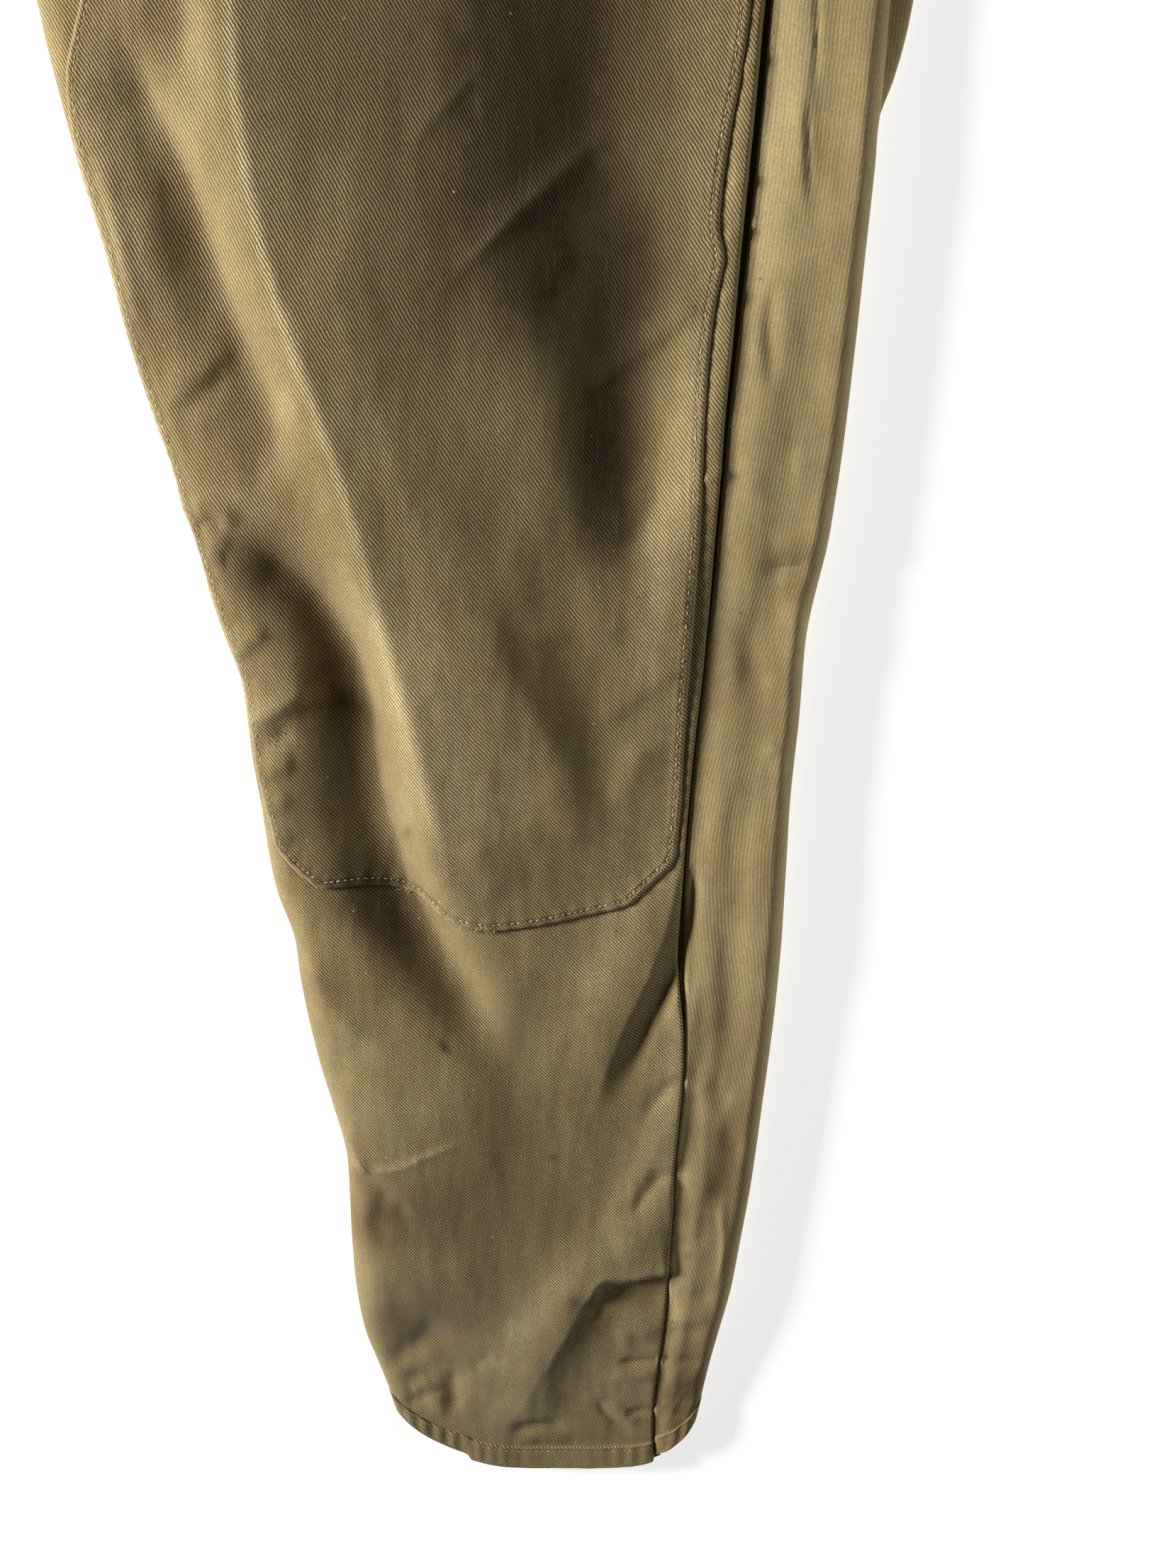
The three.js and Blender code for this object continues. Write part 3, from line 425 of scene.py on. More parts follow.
def foldField(x, y, folds):
    # the height that the folds add at each point, and how much their crests are lightened, as wear and as
    # painted highlight
    def along(values, share):
        values = np.atleast_1d(values)
        return np.interp(share, np.linspace(0, 1, len(values)), values)

    height, wearAndHighlight = np.zeros(x.shape), np.zeros(x.shape)
    for one in folds:
        line = one["line"]
        reach = 2.6 * max(np.max(one["left"]), np.max(one["right"]))
        low, high = line.min(axis=0) - reach, line.max(axis=0) + reach
        near = (x > low[0]) & (x < high[0]) & (y > low[1]) & (y < high[1])
        if not near.any():
            continue
        distance, share, hand = nearLine(x[near], y[near], line)
        start, end = one["ends"]
        fade = smoothStep(0, start, share) * smoothStep(0, end, 1 - share)
        width = np.where(hand > 0, along(one["right"], share), along(one["left"], share))
        rounded = np.hypot(distance, 0.12 * width)
        height[near] += along(one["height"], share) * fade * bell(rounded, width, one["power"])
        # a crest's lightening stands for wear and is also a painted highlight where the light catches the
        # crest
        if one["wearAndHighlight"]:
            wearAndHighlight[near] += one["wearAndHighlight"] * fade * bell(distance, 1.2 + 0.05 * width, 1.4)
    return height, wearAndHighlight


def ripple(x, y, seed, longest=90.0, shortest=12.0, waves=22):
    # a low uneven swell: a sum of sine waves, longer along the leg than across it
    draw = np.random.default_rng(seed)
    total = np.zeros(x.shape)
    for k in range(waves):
        length = longest * (shortest / longest) ** (k / (waves - 1))
        turn, phase = draw.uniform(-0.9, 0.9), draw.uniform(0, 2 * math.pi)
        across = x * math.cos(turn) + y * math.sin(turn) * 0.55
        total += (length / longest) ** 1.15 * np.sin(2 * math.pi * across / length + phase)
    return total / 3.2


def edgesAt(row):
    gap = garment["middleGap"]
    inseam = np.where(row >= garment["crotch"], gap, np.maximum(follow(outline, "inseam", row), gap))
    outer = follow(outline, "outer", row)
    return inseam, follow(outline, "seam", row), np.minimum(follow(outline, "fold", row), outer), outer


def level(row):
    # the height at which a row meets the side: the waist's rows rise to it
    share = smoothStep(garment["waistStart"], garment["frontWaist"], row)
    return row + (garment["sideWaist"] - garment["frontWaist"]) * share


def waistRise(x, front):
    centre = np.where(front, garment["frontWaist"], garment["backWaist"])
    return centre + (garment["sideWaist"] - centre) * np.clip(np.abs(x) / garment["waistHalf"], 0, 1)


def rowY(row, across, waist):
    # a row bows up at the hem's corners and follows the waistline at the top
    fromMiddle = 2 * across - 1
    rise = np.where(fromMiddle < 0, garment["hemRiseInside"] * np.abs(fromMiddle) ** 2.7,
                    garment["hemRiseOutside"] * np.abs(fromMiddle) ** 5)
    return (row + (garment["hemLine"] + rise) * (1 - smoothStep(0, garment["hemBowEnd"], row))
            + (waist - garment["frontWaist"]) * smoothStep(garment["waistStart"], garment["frontWaist"], row))


# The knee patch, as its four sides run on the cloth
patchSettings = dict(
    left=[(110, 319), (106.5, 335), (103, 354), (99.5, 390), (89, 426), (80, 461), (71, 495), (62.5, 528),
          (56, 560), (50, 585), (46.5, 604), (47.5, 622), (54, 640), (66, 672), (84, 706)],
    right=[(283, 322), (284.5, 340), (286, 380), (289, 430), (290.6, 460), (291.6, 500), (293.6, 528),
           (296.2, 545), (298.2, 556), (296.2, 566), (296.8, 580), (300, 603), (303, 620), (306, 645),
           (308, 690)],
    bottom=[(110, 319), (114.5, 312.5), (123, 304.5), (130, 300.5), (147, 301), (164, 298.6), (174, 294.4),
            (182, 288), (193, 284.4), (206, 283.4), (224, 285.6), (243, 289.6), (261, 294.2), (268, 300),
            (277, 308.5), (282, 314.5), (283, 322)],
    top=[(84, 706), (108, 730), (146, 748), (194, 757), (240, 752), (282, 730), (308, 690)],
    hem=4.4, stitchFrom=3.2, stitchDip=0.4, turnedUnder=0.3, gather=0.22, gatherEvery=7.4, sink=0.5,
    thickness=0.75, columns=170, rows=250)


def patchBorder():
    s = patchSettings
    sides = [through(s["bottom"], 6), through(s["right"], 6)[1:], through(s["top"], 6)[::-1][1:],
             through(s["left"], 6)[::-1][1:]]
    return np.vstack(sides)


patchLine = patchBorder()


def clothTop(x, row, y, half, onStrip):
    # Height of the upper cloth's face. A row is an arch between the inseam and the side, plus the folds and
    # the welt beside the side seam, less the seam's groove, rounded down to the floor at both edges.
    inseam, seam, foldX, outer = edgesAt(row)
    inBody = smoothStep(arch["bodyStart"], arch["bodyEnd"], row)
    across = np.clip((x - inseam) / (outer - inseam), 0, 1)
    acrossSeam = (seam - inseam) / (outer - inseam)
    legShape = np.sin(math.pi * np.minimum(across, acrossSeam)) ** arch["legPower"]
    bodyShape = np.cos(math.pi / 2 * np.clip(x / outer, 0, 1)) ** arch["bodyPower"]
    full = smoothStep(0, garment["hemBowEnd"], row)
    loft = full * follow(fullness, "loft", row) * (legShape * (1 - inBody) + bodyShape * inBody)
    height = garment["hemShoulder"] + full * (garment["shoulder"] - garment["hemShoulder"]) + loft
    added, wearAndHighlight = foldField(x, y, half["folds"])
    height = (height + added + arch["swell"] * ripple(x, y, half["seed"])
              + arch["crinkle"] * ripple(x, y, half["seed"] + 40, longest=13.0, shortest=5.0, waves=26))
    if onStrip:
        more, wearAndHighlightStrip = foldField(x, y, half["strip"])
        onTop = np.clip((x - seam) / (foldX - seam), 0, 1)
        height = (height * (1 - arch["stripDrop"] * smoothStep(0, 0.6, onTop)) + garment["stripLift"] + more
                  + garment["stripSlope"] * (onTop - 1 + smoothStep(-0.1, 0.35, onTop)))
        wearAndHighlight = wearAndHighlight + wearAndHighlightStrip
    else:
        groove = follow(fullness, "groove", row)
        away = np.maximum(seam - follow(outline, "gap", row) - x, 0)
        lip = follow(fullness, "lip", row)
        welt = arch["welt"] * groove * bell(away - lip, follow(fullness, "spread", row))
        sink = patchSettings["sink"] * bell(nearLine(x, y, patchLine)[0], 1.5, 1.6)
        height = height + welt - arch["groove"] * groove * (1 - roundOff(away / lip)) - sink
    closed = 1 - smoothStep(garment["crotch"], arch["closedEnd"], row)
    inner = 1 - closed * (1 - roundOff((x - inseam) / garment["shoulderWidth"]))
    side = roundOff((foldX - x) / garment["stripShoulder"])
    rounded = np.maximum(height, arch["least"]) * side * inner
    if onStrip:
        wing = np.where(outer > foldX + 0.5, garment["wingShoulder"] + follow(fullness, "wing", row), 0)
        rounded = np.maximum(rounded, wing * roundOff((outer - x) / garment["shoulderWidth"]))
    return garment["foldHeight"] + rounded, wearAndHighlight


def spaced(*spans):
    # places along a line: each span is (from, to, count), and they join end to end
    parts = [np.linspace(a, b, n, endpoint=False) for a, b, n in spans]
    return np.concatenate(parts + [[spans[-1][1]]])


hemSettings = dict(gather=0.32, gatherEvery=6.3, stitchDip=0.35, dipWidth=0.9)


def hemSwell(x, row):
    # the turned-up hem is thicker, is gathered a little by its stitches, and dips along them
    inHem = 1 - smoothStep(garment["hemDepth"] - 0.3, garment["hemDepth"] + 0.5, row)
    waves = 2 * math.pi * x / hemSettings["gatherEvery"] + 1.7 * np.sin(x / 17)
    gathers = hemSettings["gather"] * np.sin(waves) * (0.5 + 0.5 * np.sin(x / 23 + 1))
    stitchDip = hemSettings["stitchDip"] * bell(row - garment["hemStitch"], hemSettings["dipWidth"])
    return inHem * (garment["hemThickening"] + gathers * smoothStep(0, 3, row)) - stitchDip


rows = spaced((0, 2.0, 4), (2.0, 9.6, 8), (9.6, 11.4, 5), (11.4, 700, 360), (700, garment["frontWaist"], 66))
backRows = np.append(rows[::2], rows[-1])


def frontGrid(half):
    # rows run up the panel, and columns from the inseam over the leg to just under the strip
    row = rows[:, None]
    inseam, seam, _, outer = edgesAt(level(row))
    shares = spaced((0, 90, 12))[:-1]
    shoulder = inseam + garment["shoulderWidth"] * (1 - np.cos(np.radians(shares)))
    start, end = inseam + garment["shoulderWidth"], seam - 14
    middle = start + (end - start) * spaced((0, 1, 132))[:-1]
    groove = seam + spaced((-14, -6, 9), (-6, 0, 16), (0, garment["tuck"], 3))
    x = np.hstack([shoulder, middle, groove])
    row = np.broadcast_to(row, x.shape)
    across = (x - inseam) / (outer - inseam)
    y = rowY(row, across, waistRise(x, True))
    low, high = hemStep["right" if half["mirrored"] else "left"]
    lapped = smoothStep(low, high, x)
    y = y - hemStep["drop"] * lapped * (1 - smoothStep(0, hemStep["dropEnd"], row))
    z, wearAndHighlight = clothTop(x, level(row), y, half, False)
    z = z + hemSwell(x, row) + hemStep["lift"] * lapped * (1 - smoothStep(9, 12, row))
    z[:, 0] += garment["inseamSplit"]
    return np.stack([x, y, z], axis=-1), wearAndHighlight


def backGrid(half):
    # rows run up the panel; columns run along the strip, round the side and back under the leg to the inseam
    row = backRows[:, None]
    inseam, seam, foldX, outer = edgesAt(level(row))
    start, end = seam - 1, foldX - garment["stripShoulder"]
    strip = start + (end - start) * spaced((0, 0.09, 8), (0.09, 1, 28))[:-1]
    side = foldX - garment["stripShoulder"] * (1 - np.sin(np.radians(spaced((0, 78, 14)))))
    wing = side[:, -1:] + (outer - side[:, -1:]) * spaced((0, 1, 10))[1:-1]
    top = np.hstack([strip, side, wing])
    h = garment["foldHeight"]
    turn = np.radians(spaced((90, 0, 8)))
    corner = outer - h * (1 - np.sin(turn))
    flat = outer - h - (outer - inseam - 2 * h) * spaced((0, 1, 22))[1:-1]
    closed = 1 - smoothStep(700, 740, row)
    radius = h * closed
    rise = np.radians(spaced((0, 90, 7)))
    inner = inseam + radius * (1 - np.sin(rise)) + (1 - closed) * 3 * (1 - rise / (math.pi / 2))
    x = np.hstack([top, corner, flat, inner])
    rowAll = np.broadcast_to(row, x.shape)
    front = np.arange(x.shape[1]) < top.shape[1] + 4
    y = rowY(rowAll, (x - inseam) / (outer - inseam), waistRise(x, front))
    n = top.shape[1]
    z = np.zeros(x.shape)
    z[:, :n], wearAndHighlightTop = clothTop(top, level(rowAll[:, :n]), y[:, :n], half, True)
    fromEdge = top - start
    z[:, :n] += hemSwell(top, rowAll[:, :n])
    z[:, :n] += 0.35 * bell(fromEdge - 1.6, 1.2) - 1.3 * (1 - roundOff(fromEdge / 1.1))
    z[:, n:n + turn.size] = h * (1 - np.cos(turn))
    z[:, -rise.size:] = radius * (1 - np.cos(rise))
    z[:, -1] -= garment["inseamSplit"] * closed[:, 0]
    wearAndHighlight = np.zeros(x.shape)
    wearAndHighlight[:, :n] = wearAndHighlightTop
    return np.stack([x, y, z], axis=-1), wearAndHighlight


def evenly(path, shares):
    # points at even shares of a curve's length
    line = through(path, 10)
    lengths = lengthsAlong(line)
    return pointsAt(shares * lengths[-1], lengths, line)


def patchPlan(u, v):
    # a Coons patch: each point blends the four sides
    left, right = evenly(patchSettings["left"], v[:, 0]), evenly(patchSettings["right"], v[:, 0])
    bottom, top = evenly(patchSettings["bottom"], u[0]), evenly(patchSettings["top"], u[0])
    u, v = u[..., None], v[..., None]
    corners = (1 - v) * ((1 - u) * bottom[0] + u * bottom[-1]) + v * ((1 - u) * top[0] + u * top[-1])
    return (1 - u) * left[:, None] + u * right[:, None] + (1 - v) * bottom[None] + v * top[None] - corners


def denseAtEnds(first, second, count):
    # shares from 0 to 1, closer together up to the first share from either end, and again up to the second
    edge = spaced((0, first, 6), (first, second, 9))
    return np.concatenate([edge[:-1], spaced((second, 1 - second, count - 30))[:-1], 1 - edge[::-1]])


def patchGrids(half):
    s = patchSettings
    u, v = np.meshgrid(denseAtEnds(0.008, 0.03, s["columns"]), denseAtEnds(0.005, 0.018, s["rows"]))
    plan = patchPlan(u, v)
    x, y = plan[..., 0], plan[..., 1]
    z, wearAndHighlight = clothTop(x, y, y, half, False)
    base = np.stack([x, y, z], axis=-1)
    up = gridNormals(base)
    fromEdge, along, _ = nearLine(x, y, patchLine)
    waves = 2 * math.pi * along * lengthsAlong(patchLine)[-1] / s["gatherEvery"] + 2 * np.sin(along * 31)
    gathers = s["gather"] * np.sin(waves) * bell(fromEdge - 3.5, 3.5)
    inHem = (1 - smoothStep(s["hem"] - 0.8, s["hem"] + 1.4, fromEdge)) * smoothStep(0.4, 1.6, fromEdge)
    dip = s["stitchDip"] * bell(fromEdge - s["stitchFrom"], 0.6)
    lift = (garment["seamGap"] + 0.15 + s["thickness"] * roundOff(fromEdge / 0.9) + s["turnedUnder"] * inHem
            - dip + gathers)
    frayed = 0.7 * bell(fromEdge, 1.6) * bell(np.hypot(x - 185, y - 290), 20) * (not half["mirrored"])
    wearAndHighlight = wearAndHighlight + 0.35 * bell(fromEdge - 0.7, 0.8) + frayed
    return base + up * lift[..., None], base + up * garment["seamGap"], wearAndHighlight


def gridNormals(grid):
    across, along = np.gradient(grid, axis=1), np.gradient(grid, axis=0)
    return unit(np.cross(across, along))


def stitchedWall(name, outer, inner, mirrored, values, uv, every=4):
    # A closed wall of cloth. Its outer face has every point of the grid, its inner face has fewer, and strips
    # along the four borders join them.
    rowCount, columnCount = outer.shape[:2]
    pickRows, pickColumns = (np.unique(np.append(np.arange(0, n, every), n - 1)) for n in outer.shape[:2])
    pick = np.ix_(pickRows, pickColumns)
    under = inner[pick]
    outerIndex = np.arange(rowCount * columnCount).reshape(rowCount, columnCount)
    underIndex = rowCount * columnCount + np.arange(under.shape[0] * under.shape[1]).reshape(under.shape[:2])

    def quads(index):
        corners = [index[:-1, :-1], index[:-1, 1:], index[1:, 1:], index[1:, :-1]]
        return np.stack(corners, axis=-1).reshape(-1, 4)

    faces = quads(outerIndex).tolist() + quads(underIndex)[:, ::-1].tolist()
    for k, (a, b) in enumerate(zip(pickColumns[:-1], pickColumns[1:])):
        low, high = outerIndex[0, a:b + 1].tolist(), outerIndex[-1, a:b + 1].tolist()
        faces.append([int(underIndex[0, k]), int(underIndex[0, k + 1])] + low[::-1])
        faces.append([int(underIndex[-1, k + 1]), int(underIndex[-1, k])] + high)
    for k, (a, b) in enumerate(zip(pickRows[:-1], pickRows[1:])):
        low, high = outerIndex[a:b + 1, 0].tolist(), outerIndex[a:b + 1, -1].tolist()
        faces.append([int(underIndex[k + 1, 0]), int(underIndex[k, 0])] + low)
        faces.append([int(underIndex[k, -1]), int(underIndex[k + 1, -1])] + high[::-1])
    if mirrored:
        faces = [face[::-1] for face in faces]
    points = np.vstack([outer.reshape(-1, 3), under.reshape(-1, 3)])
    spread = {key: np.concatenate([value.ravel(), value[pick].ravel()]) for key, value in values.items()}
    uvAll = np.vstack([uv.reshape(-1, 2), uv[pick].reshape(-1, 2)])
    return meshObject(name, toMetres(points, mirrored), faces, spread, uvAll)


def meshObject(name, points, faces, values=None, uv=None, sharpAngle=42):
    mesh = bpy.data.meshes.new(name)
    mesh.from_pydata(points, [], faces)
    mesh.polygons.foreach_set("use_smooth", np.ones(len(mesh.polygons), bool))
    mesh.set_sharp_from_angle(angle=math.radians(sharpAngle))
    for key, value in (values or {}).items():
        mesh.attributes.new(key, "FLOAT", "POINT").data.foreach_set("value", value.astype(np.float32))
    if uv is not None:
        corners = np.empty(len(mesh.loops), np.int32)
        mesh.loops.foreach_get("vertex_index", corners)
        mesh.uv_layers.new(name="grain").data.foreach_set("uv", uv[corners].astype(np.float32).ravel())
    mesh.update()
    made = bpy.data.objects.new(name, mesh)
    bpy.context.collection.objects.link(made)
    return made


# The twill's lean: the ridges' fall to the right, in degrees, on the fronts and on the strips
twillLean = (("y", "front", "strip"), [
    (0, 41, 68), (150, 42, 70), (300, 43, 74), (450, 46, 84), (650, 51, 88.5), (1030, 52, 89)])


def grainUv(grid, column, pivot):
    # u runs across the twill's ridges and v along them, in metres
    x, y = grid[..., 0], grid[..., 1]
    lean = np.radians(follow(twillLean, column, y))
    across = (x - pivot) * np.sin(lean) + y * np.cos(lean)
    along = (x - pivot) * np.cos(lean) - y * np.sin(lean)
    return np.stack([across, along], axis=-1) * 0.001


# Soiling and wear, together with painted shade and painted highlight, each a soft oval: its middle's x and y,
# its half-length and half-width, how many degrees it is turned, and how strong it is. Positive is brown soil,
# and painted shade in hollows and on slopes turned from the light; negative is faded cloth, and painted
# highlight on lit flanks, beside the patch's edge and along the strip's edge.
soilShadeAndHighlightMarks = [
    (220, 650, 76, 34, 88, 0.75), (256, 650, 70, 40, 88, 0.4), (214, 570, 60, 28, 72, 0.5),
    (250, 494, 46, 17, 84, 0.8), (262, 550, 36, 20, 88, 0.7), (254, 454, 26, 10, 84, 0.7),
    (244, 384, 28, 8, 84, 0.25), (152, 640, 50, 22, 88, 0.35), (118, 640, 30, 7, 88, 0.2),
    (140, 585, 40, 7, 88, 0.25), (84, 560, 46, 13, 66, 0.5), (112, 436, 28, 15, -45, 0.6),
    (143, 382, 30, 12, -75, 0.5), (122, 334, 22, 10, 80, 0.35), (150, 290, 24, 12, -50, 0.75),
    (178, 255, 44, 11, -55, 0.6), (138, 350, 44, 14, 86, 0.3), (151, 312, 28, 13, -62, 0.3),
    (228, 78, 34, 8, 60, 0.3), (162, 92, 26, 11, 15, 0.4), (262, 104, 22, 5, 5, 0.3),
    (150, 142, 24, 11, 20, 0.35), (306, 176, 15, 5, 75, 0.45), (302, 160, 12, 5, 60, 0.3),
    (240, 350, 60, 18, 60, 0.35), (232, 20, 44, 10, 0, 0.4), (181, 228, 4, 1.6, -50, 0.8),
    (229, 175, 2.6, 1.4, 0, 0.7), (168, 326, 5, 2.4, 50, 0.5), (291, 125, 2.2, 1.0, 0, 0.7),
    (152, 604, 10, 2.2, 85, 0.2), (318, 526, 22, 4, 88, 0.35), (331, 590, 30, 3, 88, 0.3),
    (290, 42, 34, 12, 85, 0.75), (308, 140, 70, 9, 82, 0.45), (203, 460, 26, 10, 80, 0.4),
    (226, 548, 26, 12, 84, 0.5), (212, 228, 34, 16, 70, 0.35), (186, 140, 60, 44, 0, 0.42),
    (205, 210, 50, 14, 80, 0.35), (180, 570, 90, 40, 84, 0.3), (96, 596, 60, 11, 78, -0.35),
    (127, 500, 66, 7, 70, -0.35), (166, 386, 50, 8, -72, -0.3), (280, 470, 60, 9, 80, -0.6),
    (250, 268, 50, 12, 62, -0.5), (281, 220, 56, 6, 84, -0.6), (281, 350, 50, 6, 88, -0.4),
    (216, 90, 60, 9, 54, -0.7), (184, 370, 60, 12, -76, -0.45), (216, 340, 44, 26, 0, -0.45),
    (255, 66, 44, 16, 70, -0.25), (270, 400, 70, 12, 84, -0.35), (66, 575, 50, 7, -76, -0.4),
    (335, 410, 22, 6, 80, -0.5), (340, 300, 90, 8, 86, -0.35), (290, 620, 50, 12, 88, -0.35),
    (320, 600, 60, 10, 88, -0.3), (268, 150, 30, 8, 70, -0.45), (196, 240, 40, 8, -62, -0.35),
    (140, 232, 18, 5, -40, -0.45), (118, 380, 26, 5, 20, -0.4), (104, 462, 20, 6, -20, -0.4),
]


# the ovals' sum: soil and painted shade where it is above zero, faded cloth and painted highlight where below
def soilShadeAndHighlightField(x, y):
    total = np.zeros(x.shape)
    for middleX, middleY, reach, width, turn, amount in soilShadeAndHighlightMarks:
        c, s = math.cos(math.radians(turn)), math.sin(math.radians(turn))
        dx, dy = x - middleX, y - middleY
        total += amount * np.exp(-((dx * c + dy * s) / reach) ** 2 - ((dy * c - dx * s) / width) ** 2)
    return total


def surfaceValues(grid, wearAndHighlight, seamDirt=0.0):
    # seamDirt darkens the cloth along the row of stitches inside the patch's edge
    x, y = grid[..., 0], grid[..., 1]
    # the ovals give soil with painted shade where positive, and fading with painted highlight where negative
    soil_and_shade = soilShadeAndHighlightField(x, y)
    if seamDirt:
        soil_and_shade = soil_and_shade + seamDirt * bell(nearLine(x, y, patchLine)[0] - patchSettings["stitchFrom"], 1.1)
    return dict(wearAndHighlight=np.clip(wearAndHighlight, 0, 1.3), soil_and_shade=soil_and_shade)


# Stitches: short rounded beads of thread along a line on the cloth
stitch = dict(length=1.95, pitch=2.75, radius=0.36, sink=0.02, sides=6)
hemStitch = dict(length=1.7, pitch=2.9, radius=0.24, sink=0.12, sides=6)
nub = dict(length=0.9, pitch=5.6, radius=0.2, sink=-0.05, sides=6)
fibre = dict(length=2.6, radius=0.09, sink=-0.1, sides=5)


def beadMesh(name, centres, directions, ups, mirrored, size=stitch, unevenness=0.12, seed=5):
    # each bead is a spindle: rings whose radius is an ellipse's, set along its direction
    draw = np.random.default_rng(seed)
    count = len(centres)
    along = unit(directions)
    side = unit(np.cross(ups, along))
    up = np.cross(along, side)
    ringAt = np.array([-1, -0.82, -0.4, 0.4, 0.82, 1.0])
    ringWide = np.array([0.25, 0.7, 1.0, 1.0, 0.7, 0.25])
    turn = np.arange(size["sides"]) * 2 * math.pi / size["sides"]
    long = 1 + unevenness * draw.standard_normal(count)
    wide = 1 + unevenness * draw.standard_normal(count)
    yaw = 0.09 * draw.standard_normal(count)
    along = along + side * yaw[:, None]
    a = (along * (size["length"] / 2 * long)[:, None])[:, None, None] * ringAt[None, :, None, None]
    r = size["radius"] * wide[:, None] * ringWide[None]
    b = side[:, None, None] * (r[..., None] * np.cos(turn))[..., None]
    c = up[:, None, None] * (r[..., None] * np.sin(turn))[..., None]
    dip = up[:, None, None] * (-size["sink"] - 0.5 * size["radius"] * (ringAt ** 4))[None, :, None, None]
    points = (centres[:, None, None] + a + b + c + dip).reshape(-1, 3)
    ringCount, n = len(ringAt), size["sides"]
    base = (np.arange(count) * ringCount * n)[:, None, None]
    ring = np.arange(ringCount - 1)[None, :, None] * n
    k = np.arange(n)[None, None]
    quads = np.stack([base + ring + k, base + ring + (k + 1) % n, base + ring + n + (k + 1) % n,
                      base + ring + n + k], axis=-1).reshape(-1, 4)
    firstCap = base[:, 0] + np.arange(n)[::-1]
    lastCap = base[:, 0] + (ringCount - 1) * n + np.arange(n)
    faces = quads.tolist() + firstCap.tolist() + lastCap.tolist()
    if not mirrored:
        faces = [face[::-1] for face in faces]
    return meshObject(name, toMetres(points, mirrored), faces, sharpAngle=80)


def onCloth(plan, half, onStrip=False, lift=0.0):
    # points on the cloth's face over a line in plan, the surface's normal there and the line's direction
    x, y = plan[:, 0], plan[:, 1]
    step = 0.4

    def z(dx, dy):
        return clothTop(x + dx, y + dy, y + dy, half, onStrip)[0]

    fallX, fallY = z(-step, 0) - z(step, 0), z(0, -step) - z(0, step)
    up = unit(np.stack([fallX, fallY, np.full(len(x), 2 * step)], axis=-1))
    centres = np.stack([x, y, z(0, 0)], axis=-1) + up * lift
    return centres, np.gradient(centres, axis=0), up


def pitched(length, pitch, jitter, seed):
    # places a pitch apart along a length, each shaken a little
    wanted = np.arange(pitch / 2, length, pitch)
    shake = np.random.default_rng(seed).standard_normal(len(wanted))
    return np.clip(wanted + jitter * pitch * shake, 0, length)


def everyPitch(line, pitch, jitter=0.06, seed=2):
    lengths = lengthsAlong(line)
    return pointsAt(pitched(lengths[-1], pitch, jitter, seed), lengths, line)


def alongGrid(grid, row=None, column=None, span=(0, 1), pitch=2.75, jitter=0.06, seed=2):
    # places a pitch apart along one row or one column of a grid's points, with the face's normal there
    up = gridNormals(grid)
    line, ups = (grid[row], up[row]) if column is None else (grid[:, column], up[:, column])
    first, last = int(span[0] * (len(line) - 1)), int(span[1] * (len(line) - 1)) + 1
    line, ups = line[first:last], ups[first:last]
    lengths = lengthsAlong(line)
    wanted = pitched(lengths[-1], pitch, jitter, seed)
    centres = pointsAt(wanted, lengths, line)
    return centres, np.gradient(centres, axis=0), pointsAt(wanted, lengths, ups)


def fibres(path, spread, count, half, lift, seed):
    # frayed ends of thread: straws turned at random, scattered about a line on the cloth
    draw = np.random.default_rng(seed)
    line = through(path, 12)
    places = line[draw.integers(0, len(line), count)] + spread * draw.standard_normal((count, 2))
    centres, _, ups = onCloth(places, half, lift=lift)
    turn = draw.uniform(0, 2 * math.pi, count)
    directions = np.stack([np.cos(turn), np.sin(turn), 0.3 * draw.standard_normal(count)], axis=-1)
    return centres, directions, ups


def inset(line, distance):
    # the closed line moved in by a distance, to its left as it is walked
    ahead = np.roll(line, -1, axis=0) - np.roll(line, 1, axis=0)
    return line + unit(np.stack([-ahead[:, 1], ahead[:, 0]], axis=-1)) * distance


# Materials
def nodeGroup(name, inputs, outputs):
    group = bpy.data.node_groups.new(name, "ShaderNodeTree")
    for label, kind, value in inputs:
        socket = group.interface.new_socket(label, in_out="INPUT", socket_type=kind)
        if value is not None:
            socket.default_value = value
    for label, kind in outputs:
        group.interface.new_socket(label, in_out="OUTPUT", socket_type=kind)
    return group, group.nodes.new("NodeGroupInput"), group.nodes.new("NodeGroupOutput")


def nodeMakers(tree):
    # add makes any node, and links an input that is a socket or sets it; the others make one kind each
    def add(kind, inputs=None, **settings):
        node = tree.nodes.new(kind)
        for key, value in settings.items():
            setattr(node, key, value)
        for key, value in (inputs or {}).items():
            if isinstance(value, bpy.types.NodeSocket):
                tree.links.new(value, node.inputs[key])
            else:
                node.inputs[key].default_value = value
        return node

    def maths(operation, a, b=0.0, c=0.0):
        return add("ShaderNodeMath", {0: a, 1: b, 2: c}, operation=operation).outputs[0]

    def mixColour(kind, share, a, b):
        return add("ShaderNodeMix", {0: share, 6: a, 7: b}, data_type="RGBA", blend_type=kind).outputs[2]

    def noise(place, scale, detail, **inputs):
        inputs.update(Vector=place, Scale=scale, Detail=detail)
        return add("ShaderNodeTexNoise", inputs).outputs[0]

    def stretched(place, *scale):
        return add("ShaderNodeMapping", {"Vector": place, "Scale": scale}).outputs[0]

    def remap(value, low, high, first=0.0, last=1.0):
        return add("ShaderNodeMapRange", {0: value, 1: low, 2: high, 3: first, 4: last}).outputs[0]

    def surface(inputs):
        add("ShaderNodeOutputMaterial", {"Surface": add("ShaderNodeBsdfPrincipled", inputs).outputs[0]})

    return add, maths, mixColour, noise, stretched, remap, surface


